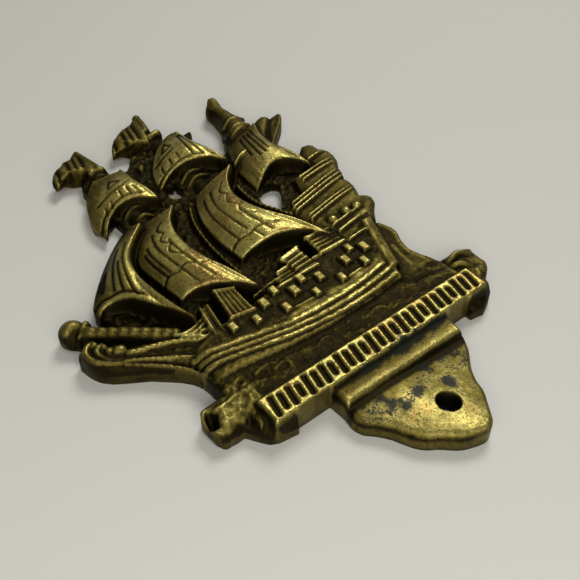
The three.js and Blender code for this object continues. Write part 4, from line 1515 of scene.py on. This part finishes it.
PENNANTS = (
    Pennant(((-21.7, 76.2), (-21.6, 77.9), (-20.5, 79.4), (-19.4, 80.3), (-18, 80.6), (-16.7, 81.7),
             (-15.5, 81.5), (-14.5, 82.3), (-13.5, 82.9)),
            ((-21.4, 75.4), (-19.9, 76.2), (-18.3, 76.9), (-16.5, 76.8), (-14.8, 75.6), (-14.4, 73.6)),
            ((-13.1, 82.2), (-12.9, 80.8), (-12.4, 77.6), (-12, 74.6)), ((-13.8, 74.4), (-11.6, 74.2)),
            3.0, 2.2),
    Pennant(((-6.5, 78.6), (-5.4, 80.6), (-4.2, 82), (-2.7, 82.8), (-1.8, 83.4), (-0.4, 84), (1.2, 84.4),
             (2.4, 85), (3.6, 85.9)),
            ((-6.4, 78.2), (-4.5, 78.7), (-2.9, 78.5), (-1.4, 78), (0.2, 77.6), (2, 76.4)),
            ((4.5, 85.7), (4.4, 84), (4, 82), (3.6, 80.4)), ((3, 77.8), (5.2, 78.3)), 2.6, 1.6, bulb=1.15),
)

DECK_HOUSES = (
    DeckHouse(((-16.8, 20.4), (-12, 19.4), (-11.8, 26), (-15.4, 27.8)), 5.9, 5, upright=True),
    DeckHouse(((-5.2, 21.2), (0, 21.2), (0, 24.6), (-3.2, 24.4)), 5.6, 4),
    DeckHouse(((0, 21), (4.3, 21), (4.3, 27.4), (-0.6, 26.6)), 5.9, 5),
    DeckHouse(((6.4, 23), (12.7, 23), (12.7, 27.6), (6.8, 28.4)), 5.9, 5),
)


# Corners of a grid cell are numbered 0 to 3 anticlockwise from its lower left; 4 to 7 are the points where
# the outline crosses its lower, right, upper and left sides. The key is the sum of 1, 2, 4 and 8 for the
# corners inside.
CELL_FACES: dict[int, tuple[tuple[int, ...], ...]] = {
    1: ((0, 4, 7),), 2: ((1, 5, 4),), 3: ((0, 1, 5, 7),), 4: ((2, 6, 5),), 5: ((0, 4, 7), (2, 6, 5)),
    6: ((1, 2, 6, 4),), 7: ((0, 1, 2, 6, 7),), 8: ((3, 7, 6),), 9: ((0, 4, 6, 3),),
    10: ((1, 5, 4), (3, 7, 6)), 11: ((0, 1, 5, 6, 3),), 12: ((2, 3, 7, 5),), 13: ((0, 4, 5, 2, 3),),
    14: ((1, 2, 3, 7, 4),), 15: ((0, 1, 2, 3),),
}


@dataclass
class Casting:
    """Turns a relief into a closed mesh, with the masks that its finish reads."""

    trim: float = 0.12
    wall_rows: int = 3
    wall_patina_and_shade: float = 0.1
    bore_painted_shade: float = -1.5
    back_polish: float = 0.25
    back_step: int = 8
    back_inset: float = 1.2
    thinnest: float = 0.5
    bore_margin: float = 0.5
    weld: float = 1e-9

    def clip(self, relief: Relief) -> tuple[Array, Array, list[list[int]], Array]:
        """The front, clipped to the outline.

        Grid points inside the outline are kept, and each cell that the outline crosses is cut where the
        inset is equal to the trim.

        Args:
            relief: The height field.

        Returns:
            Which grid points are kept, the rim's points, the faces, and the rim's edges as pairs of points.
        """
        keep = relief.inset - self.trim
        inside = keep > 0
        count = int(inside.sum())
        numbers = np.full(keep.shape, -1)
        numbers[inside] = np.arange(count)
        level, upright = inside[:, :-1] != inside[:, 1:], inside[:-1] != inside[1:]
        level_numbers, upright_numbers = np.full(level.shape, -1), np.full(upright.shape, -1)
        level_numbers[level] = count + np.arange(level.sum())
        upright_numbers[upright] = count + level.sum() + np.arange(upright.sum())
        share = keep[:, :-1][level] / (keep[:, :-1][level] - keep[:, 1:][level])
        lift = keep[:-1][upright] / (keep[:-1][upright] - keep[1:][upright])
        rim_x = np.concatenate([relief.x[:, :-1][level] + relief.step * share, relief.x[:-1][upright]])
        rim_z = np.concatenate([relief.z[:, :-1][level], relief.z[:-1][upright] + relief.step * lift])
        slots = np.stack([
            numbers[:-1, :-1], numbers[:-1, 1:], numbers[1:, 1:], numbers[1:, :-1],
            level_numbers[:-1], upright_numbers[:, 1:], level_numbers[1:], upright_numbers[:, :-1],
        ], axis=-1)
        code = inside[:-1, :-1] + 2 * inside[:-1, 1:] + 4 * inside[1:, 1:] + 8 * inside[1:, :-1]
        faces, rims = [], []
        for key, patterns in CELL_FACES.items():
            cells = slots[code == key]
            for pattern in patterns:
                faces += cells[:, pattern].tolist()
                sides = zip(pattern, pattern[1:] + pattern[:1])
                rims += [cells[:, side] for side in sides if min(side) > 3]
        return inside, np.column_stack([rim_x, rim_z]), faces, np.vstack(rims) - count

    def mesh(self, relief: Relief, masks: dict[str, Array]) -> bpy.types.Mesh:
        """The closed mesh: the clipped front, walls from its rim to the back, and the filled back.

        Args:
            relief: The height field.
            masks: Fields stored on the points, by name.

        Returns:
            The new mesh.
        """
        inside, rim_points, faces, rim = self.clip(relief)
        rim_x, rim_z = rim_points.T
        count, total = int(inside.sum()), len(rim_points)
        x = np.concatenate([relief.x[inside], rim_x])
        z = np.concatenate([relief.z[inside], rim_z])
        rise = relief.sample(relief.rise, x, z)
        points = [np.column_stack([x, -rise, z])]
        top = rise[count:]
        under = np.minimum(relief.sample(relief.under, rim_x, rim_z), top - self.thinnest)
        back_x, back_z = self.narrowed(relief, rim_x, rim_z)
        bored = np.hypot(back_x - rim_x, back_z - rim_z) > 0
        for row in range(1, self.wall_rows + 1):
            share = row / self.wall_rows
            points.append(np.column_stack([
                rim_x + (back_x - rim_x) * share, (top - under) * share - top,
                rim_z + (back_z - rim_z) * share]))
            upper = count + (row - 1) * total
            lower = upper + total
            faces += np.column_stack(
                [rim[:, 1] + upper, rim[:, 0] + upper, rim[:, 0] + lower, rim[:, 1] + lower]).tolist()
        rounded = len(faces)
        coarse = (slice(None, None, self.back_step), slice(None, None, self.back_step))
        deep = relief.inset[coarse] > self.back_inset
        inner_x, inner_z = relief.x[coarse][deep], relief.z[coarse][deep]
        inner_under = np.minimum(relief.under, relief.rise - self.thinnest)[coarse][deep]
        points.append(np.column_stack([inner_x, -inner_under, inner_z]))
        back = self.back(np.concatenate([back_x, inner_x]), np.concatenate([back_z, inner_z]), rim)
        faces += (back + count + self.wall_rows * total).tolist()
        mesh = bpy.data.meshes.new(PIECE)
        mesh.from_pydata((np.vstack(points) * MM).tolist(), [], faces)
        mesh.polygons.foreach_set("use_smooth", np.arange(len(faces)) < rounded)
        for name, values in masks.items():
            front = relief.sample(values, x, z)
            # Walls get a little of the hollow mask: patina and painted shade.
            rest = np.full(self.wall_rows * total + len(inner_x),
                           self.wall_patina_and_shade if name == "hollow" else 0.0)
            if name == "polish":
                rest[:] = self.back_polish
                # The walls of a narrowing bore get painted shade.
                sides = np.tile(np.where(bored, self.bore_painted_shade, front[count:]), self.wall_rows - 1)
                rest[:len(sides)] = sides
            layer = mesh.attributes.new(name, "FLOAT", "POINT")
            layer.data.foreach_set("value", np.concatenate([front, rest]).astype(np.float32))
        return mesh

    def narrowed(self, relief: Relief, x: Array, z: Array) -> tuple[Array, Array]:
        """Where the rim's points meet the back: straight behind, or drawn in to a narrowing bore's middle."""
        back_x, back_z = x.copy(), z.copy()
        for bore_x, bore_z, front, back in relief.bores:
            pull = (np.hypot(x - bore_x, z - bore_z) < front + self.bore_margin) * (1 - back / front)
            back_x += (bore_x - x) * pull
            back_z += (bore_z - z) * pull
        return back_x, back_z

    def back(self, x: Array, z: Array, rim: Array) -> Array:
        """Triangles of the flat back.

        The points are joined by triangles that keep the rim's edges, and those in the openings or outside
        go.

        Args:
            x: The x of the rim's points and then of those within it.
            z: Their z.
            rim: Pairs of points that share an edge of the rim.

        Returns:
            Three point numbers for each triangle, facing +Y.
        """
        spots = [Vector(spot) for spot in np.column_stack([x, z]).tolist()]
        _, _, made, sources, _, _ = delaunay_2d_cdt(spots, rim.tolist(), [], 1, self.weld)
        first = np.array([source[0] for source in sources])
        corners = first[np.array(made)]
        flat = np.column_stack([x, z])
        kept = enclosed(x[corners].mean(axis=1), z[corners].mean(axis=1), flat[rim[:, 0]], flat[rim[:, 1]])
        return corners[kept][:, ::-1]


class Shade:
    """A shader socket that takes part in Python expressions: each operator adds one Math node."""

    def __init__(self, nodes: "NodeBench", socket: bpy.types.NodeSocket) -> None:
        """Wraps an output socket."""
        self.nodes = nodes
        self.socket = socket

    def _math(self, operation: str, first: object, second: object) -> "Shade":
        """One Math node between two values."""
        return self.nodes.make("ShaderNodeMath", {"operation": operation}, {0: first, 1: second})

    def __add__(self, other: object) -> "Shade":
        """Sum."""
        return self._math("ADD", self, other)

    def __radd__(self, other: object) -> "Shade":
        """Sum, reflected."""
        return self._math("ADD", other, self)

    def __sub__(self, other: object) -> "Shade":
        """Difference."""
        return self._math("SUBTRACT", self, other)

    def __rsub__(self, other: object) -> "Shade":
        """Difference, reflected."""
        return self._math("SUBTRACT", other, self)

    def __mul__(self, other: object) -> "Shade":
        """Product."""
        return self._math("MULTIPLY", self, other)

    def __rmul__(self, other: object) -> "Shade":
        """Product, reflected."""
        return self._math("MULTIPLY", other, self)

    def within(self, low: float, high: float) -> "Shade":
        """Share of the way from `low` to `high`, eased at both ends and kept between 0 and 1."""
        return self.nodes.make(
            "ShaderNodeMapRange", {"interpolation_type": "SMOOTHSTEP"},
            {0: self, 1: low, 2: high, 3: 0.0, 4: 1.0})


class NodeBench:
    """Adds nodes to one material's tree."""

    def __init__(self, material: bpy.types.Material) -> None:
        """Clears the material's tree."""
        material.use_nodes = True
        self.tree = material.node_tree
        self.tree.nodes.clear()

    def make(self, kind: str, settings: dict[str, object], sockets: dict[object, object],
             output: object = 0) -> Shade:
        """Adds a node.

        Args:
            kind: Node type.
            settings: Properties set first.
            sockets: Values or links by socket name or number.
            output: Output socket to wrap.

        Returns:
            The wrapped output.
        """
        node = self.tree.nodes.new(kind)
        for name, value in settings.items():
            setattr(node, name, value)
        for key, value in sockets.items():
            if isinstance(value, Shade):
                self.tree.links.new(value.socket, node.inputs[key])
            else:
                node.inputs[key].default_value = value
        return Shade(self, node.outputs[output])

    def mask(self, name: str) -> Shade:
        """A field stored on the mesh's points."""
        return self.make(
            "ShaderNodeAttribute", {"attribute_type": "GEOMETRY", "attribute_name": name}, {}, "Fac")

    def noise(self, place: Shade, scale: float, detail: float = 3.0, rough: float = 0.55) -> Shade:
        """Cloudy noise on the object's own coordinates."""
        return self.make("ShaderNodeTexNoise", {}, {
            "Vector": place, "Scale": scale, "Detail": detail, "Roughness": rough}, "Fac")

    def mix(self, share: object, first: object, second: object) -> Shade:
        """Colour between two colours."""
        return self.make("ShaderNodeMix", {"data_type": "RGBA"}, {"Factor": share, 6: first, 7: second}, 2)

    def surface(self, shader: Shade) -> None:
        """Ends the tree in an output node."""
        node = self.tree.nodes.new("ShaderNodeOutputMaterial")
        self.tree.links.new(shader.socket, node.inputs["Surface"])


@dataclass(frozen=True)
class AgedBrass:
    """Brass gone olive brown, with dark patina in its hollows, patina and painted shade on its steep walls,
    painted highlights and shade in places, and a rubbed shine on its edges.
    """

    name: str = "aged_brass"
    bright: Colour = (0.61, 0.52, 0.138, 1)
    amber: Colour = (0.4, 0.27, 0.065, 1)
    body: Colour = (0.165, 0.128, 0.025, 1)
    dark: Colour = (0.02, 0.015, 0.005, 1)
    green: Colour = (0.013, 0.015, 0.009, 1)
    cloud_scale: float = 420.0
    speck_scale: float = 2300.0
    broad_scale: float = 110.0
    body_range: Spot = (-0.15, 0.42)
    gold_range: Spot = (0.38, 1.0)
    amber_range: Spot = (0.45, 0.7)
    pit_range: Spot = (0.54, 0.66)
    pit_dark: float = 0.75
    stain_range: Spot = (0.28, 0.74)
    stain_dark: float = 0.97
    rough: float = 0.56
    rough_lost: float = 0.22
    grain: float = 0.12
    grain_bump: float = 0.6
    grain_deep: float = 0.00014
    edge_gain: float = 0.45
    hollow_loss: float = 0.7
    stirs: tuple[float, float, float] = (0.7, 0.8, 0.5)
    rough_range: Spot = (0.1, 0.9)
    sheen_lost: float = 0.22
    sheen_range: Spot = (0.15, 0.65)
    stain_dull: float = 0.2
    amber_stir: float = 0.6
    pit_stir: float = 0.35
    fray_range: Spot = (0.0, 0.3)
    frays: Spot = (1.5, 0.8)
    cloud_bump: float = 0.6

    def make(self) -> bpy.types.Material:
        """Builds the material from the masks on the mesh and noise on Object coordinates.

        Wear is the polish, more where the metal stands proud and less in hollows and on steep walls, stirred
        by the noise; the polish and the hollow mask also carry painted highlights and painted shade. As it
        grows the colour goes from dark to body to gold, the surface gets smoother and a little of the metal's
        sheen is lost.
        """
        material = bpy.data.materials.new(self.name)
        bench = NodeBench(material)
        place = bench.make("ShaderNodeTexCoord", {}, {}, "Object")
        cloud = bench.noise(place, self.cloud_scale, 4)
        speck = bench.noise(place, self.speck_scale)
        broad = bench.noise(place, self.broad_scale)
        hollow, worn, stain, polish = (bench.mask(name) for name in ("hollow", "worn", "stain", "polish"))
        wear = polish + self.edge_gain * worn - self.hollow_loss * hollow
        for stir, noise in zip(self.stirs, (cloud, speck, broad)):
            wear = wear + stir * (noise - 0.5)
        patches = broad + self.amber_stir * (cloud - 0.5)
        gold = bench.mix(patches.within(*self.amber_range), self.bright, self.amber)
        base = bench.mix(wear.within(*self.body_range), self.dark, self.body)
        base = bench.mix(wear.within(*self.gold_range), base, gold)
        pit = (speck + self.pit_stir * (cloud - 0.5)).within(*self.pit_range) * self.pit_dark
        base = bench.mix(pit, base, self.dark)
        fine, coarse = self.frays
        frayed = stain + stain.within(*self.fray_range) * (fine * (speck - 0.5) + coarse * (cloud - 0.5))
        spot = self.stain_dark * frayed.within(*self.stain_range)
        base = bench.mix(spot, base, self.green)
        rough = self.rough - self.rough_lost * wear.within(*self.rough_range)
        rough = rough + self.grain * (speck - 0.5) + self.grain * spot
        metallic = 1 - self.sheen_lost * wear.within(*self.sheen_range) - self.stain_dull * spot
        bump = bench.make("ShaderNodeBump", {}, {
            "Strength": self.grain_bump, "Distance": self.grain_deep,
            "Height": speck + self.cloud_bump * cloud})
        bench.surface(bench.make("ShaderNodeBsdfPrincipled", {}, {
            "Base Color": base, "Roughness": rough, "Metallic": metallic, "Normal": bump}))
        return material


@dataclass(frozen=True)
class PaleCard:
    """The plain pale surface the plaque lies on, seen from its front only."""

    name: str = "pale_card"
    colour: Colour = (0.66, 0.645, 0.58, 1)
    rough: float = 0.85
    near: float = 0.0006

    def make(self) -> bpy.types.Material:
        """Builds a matt surface that lets rays pass from behind, and those that start just in front of it."""
        material = bpy.data.materials.new(self.name)
        bench = NodeBench(material)
        matt = bench.make(
            "ShaderNodeBsdfPrincipled", {}, {"Base Color": self.colour, "Roughness": self.rough})
        clear = bench.make("ShaderNodeBsdfTransparent", {}, {})
        behind = bench.make("ShaderNodeNewGeometry", {}, {}, "Backfacing")
        reach = bench.make("ShaderNodeLightPath", {}, {}, "Ray Length")
        close = bench.make("ShaderNodeMath", {"operation": "LESS_THAN"}, {0: reach, 1: self.near})
        passing = bench.make("ShaderNodeMath", {"operation": "MAXIMUM"}, {0: behind, 1: close})
        bench.surface(bench.make("ShaderNodeMixShader", {}, {0: passing, 1: matt, 2: clear}))
        return material


@dataclass
class Plaque:
    """The whole casting: its sub-assemblies pressed into one relief, then meshed and dressed."""

    tab: FixingTab = field(default_factory=FixingTab)
    bar: NameBar = field(default_factory=NameBar)
    sea: Sea = field(default_factory=Sea)
    hull: Hull = field(default_factory=Hull)
    castle: SternCastle = field(default_factory=SternCastle)
    bow: Bow = field(default_factory=Bow)
    rigging: Rigging = field(default_factory=Rigging)
    mizzen: MizzenTop = field(default_factory=MizzenTop)
    finish: AgedBrass = field(default_factory=AgedBrass)
    softening: float = 0.5
    skin: float = 0.012
    wide_blur: float = 2.2
    narrow_blur: float = 0.5
    polish_blur: float = 1.2
    hollow_depths: Spot = (2.4, 0.4)
    worn_heights: Spot = (3.0, 0.3)
    steep_from: float = 1.0
    steep_run: float = 2.0
    rim_reach: float = 0.5
    edge_inset: float = 0.1
    steep_inset: float = 0.3
    steep_fade: float = 0.5
    steep_patina_and_shade: float = 0.6
    steep_loss: float = 0.5
    rim_clean: float = 0.6
    rim_worn: float = 0.3
    wide_worn: float = 0.5

    def relief(self) -> Relief:
        """Lays every form, from the lowest to the highest, and softens the whole as a casting is."""
        relief = Relief()
        lumps = relief.grain(0.7, 3)
        weave = relief.grain(0.45, 5, 4.0)
        streaks = relief.grain(0.5, 7, 0.25)
        self.rigging.shape(relief, lumps)
        self.bow.shape(relief, lumps)
        self.sea.shape(relief, lumps, streaks)
        self.hull.shape(relief, lumps, streaks)
        for house in DECK_HOUSES:
            house.shape(relief)
        self.castle.shape(relief, lumps)
        self.mizzen.shape(relief)
        for pennant in PENNANTS:
            pennant.shape(relief)
        for sail in SAILS:
            sail.shape(relief, weave)
            log.info("laid the %s", sail.name)
        self.tab.shape(relief, lumps)
        self.bar.shape(relief)
        self.tab.pierce(relief)
        self.rigging.pierce(relief)
        relief.rise = smooth(relief.rise, self.softening) + self.skin * relief.grain(0.5, 11)
        return relief

    def masks(self, relief: Relief) -> dict[str, Array]:
        """Where dirt gathers, where shade is painted and where hands have rubbed.

        A hollow lies below the blurred relief around it, where patina gathers, or is a steep wall, darkened
        partly as patina and partly as painted shade; a worn place stands above it.

        Args:
            relief: The finished height field.

        Returns:
            The masks by name.
        """
        steps = 1 / relief.step
        inside = (relief.inset > self.edge_inset).astype(float)
        wide, narrow = (
            smooth_within(relief.rise, inside, blur * steps) - relief.rise
            for blur in (self.wide_blur, self.narrow_blur))
        slope = np.hypot(*np.gradient(relief.rise)) * steps
        steep = np.clip((slope - self.steep_from) / self.steep_run, 0, 1)
        steep = steep * np.clip((relief.inset - self.steep_inset) / self.steep_fade, 0, 1)
        rim = np.exp(-((relief.inset / self.rim_reach)**2))
        broad, fine = self.hollow_depths
        # Steep walls are darkened, partly as patina and partly as painted shade.
        hollow = np.clip(wide / broad, 0, 1) + np.clip(narrow / fine, 0, 1) + self.steep_patina_and_shade * steep
        broad, fine = self.worn_heights
        worn = np.clip(-narrow / fine, 0, 1) + np.clip(-wide / broad, 0, self.wide_worn)
        # Steep walls also lose some wear, which deepens the same darkening.
        worn = worn - self.steep_loss * steep + self.rim_worn * rim
        polish = smooth_within(relief.polish, inside, self.polish_blur) * 0.5 + 0.5 * relief.polish
        return {
            "hollow": np.clip(hollow - self.rim_clean * rim, 0, 1), "worn": np.clip(worn, 0, 1),
            "stain": relief.stain, "polish": polish,
        }

    def build(self) -> bpy.types.Object:
        """Makes the piece, dresses it and ties it to the frame."""
        relief = self.relief()
        mesh = Casting().mesh(relief, self.masks(relief))
        piece = bpy.data.objects.new(PIECE, mesh)
        bpy.context.scene.collection.objects.link(piece)
        mesh.materials.append(self.finish.make())
        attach(piece, "root")
        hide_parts("galleon_plaque")
        log.info("%s: %d points, %d faces", PIECE, len(mesh.vertices), len(mesh.polygons))
        return piece


@dataclass
class Studio:
    """Pale card behind the plaque, soft light and the camera."""

    camera_place: tuple[float, float, float] = (-0.0754, -0.118, -0.06785)
    bearing: float = np.radians(50.7)
    pitch: float = np.radians(45.0)
    lens: float = 54.0
    card_half: float = 1.6
    sensor: float = 36.0
    clip_start: float = 0.005
    card_y: float = 0.0002
    aim: tuple[float, float, float] = (0, 0, 0.03)
    lamps: tuple[tuple[str, tuple[float, float, float], float, float], ...] = (
        ("key", (0.30, -0.50, 0.20), 0.24, 1.72), ("fill", (-0.13, -0.19, -0.19), 0.30, 0.74),
        ("back", (0.24, 0.50, 0.26), 0.40, 2.4),
    )
    room: Colour = (0.62, 0.62, 0.58, 1)
    room_strength: float = 0.22

    def card(self) -> bpy.types.Object:
        """The surface that the plaque's back lies on."""
        h, y = self.card_half, self.card_y
        mesh = bpy.data.meshes.new("card")
        mesh.from_pydata([(-h, y, -h), (h, y, -h), (h, y, h), (-h, y, h)], [], [(0, 1, 2, 3)])
        mesh.materials.append(PaleCard().make())
        card = bpy.data.objects.new("card", mesh)
        bpy.context.scene.collection.objects.link(card)
        return card

    def light(self, name: str, place: Vector, size: float, power: float) -> None:
        """A square soft box that faces the plaque."""
        lamp = bpy.data.lights.new(name, "AREA")
        lamp.shape = "SQUARE"
        lamp.size = size
        lamp.energy = power
        holder = bpy.data.objects.new(name, lamp)
        holder.location = place
        holder.rotation_euler = (Vector(self.aim) - place).to_track_quat("-Z", "Y").to_euler()
        bpy.context.scene.collection.objects.link(holder)

    def lights(self) -> None:
        """A key at the upper right, a weak broad light at the lower left, one behind and a grey room."""
        for name, place, size, power in self.lamps:
            self.light(name, Vector(place), size, power)
        world = bpy.data.worlds.new("room")
        world.use_nodes = True
        sky = world.node_tree.nodes["Background"].inputs
        sky["Color"].default_value = self.room
        sky["Strength"].default_value = self.room_strength
        bpy.context.scene.world = world
        bpy.context.scene.view_settings.view_transform = "Standard"

    def camera(self) -> bpy.types.Object:
        """The camera, from its place, its bearing on the wall and its pitch down to it."""
        ahead = Vector((np.cos(self.bearing), 0, np.sin(self.bearing)))
        right = Vector((np.sin(self.bearing), 0, -np.cos(self.bearing)))
        view = ahead * np.cos(self.pitch) + Vector((0, np.sin(self.pitch), 0))
        up = right.cross(view)
        data = bpy.data.cameras.new("camera")
        data.sensor_width = self.sensor
        data.lens = self.lens
        data.clip_start = self.clip_start
        camera = bpy.data.objects.new("camera", data)
        turned = Matrix((right, up, -view)).transposed().to_4x4()
        camera.matrix_world = Matrix.Translation(Vector(self.camera_place)) @ turned
        bpy.context.scene.collection.objects.link(camera)
        bpy.context.scene.camera = camera
        return camera


def main() -> None:
    """Builds the plaque and its studio."""
    logging.basicConfig(level=logging.INFO, format="%(name)s: %(message)s")
    Plaque().build()
    studio = Studio()
    studio.card()
    studio.lights()
    studio.camera()


if __name__ == "__main__":
    main()
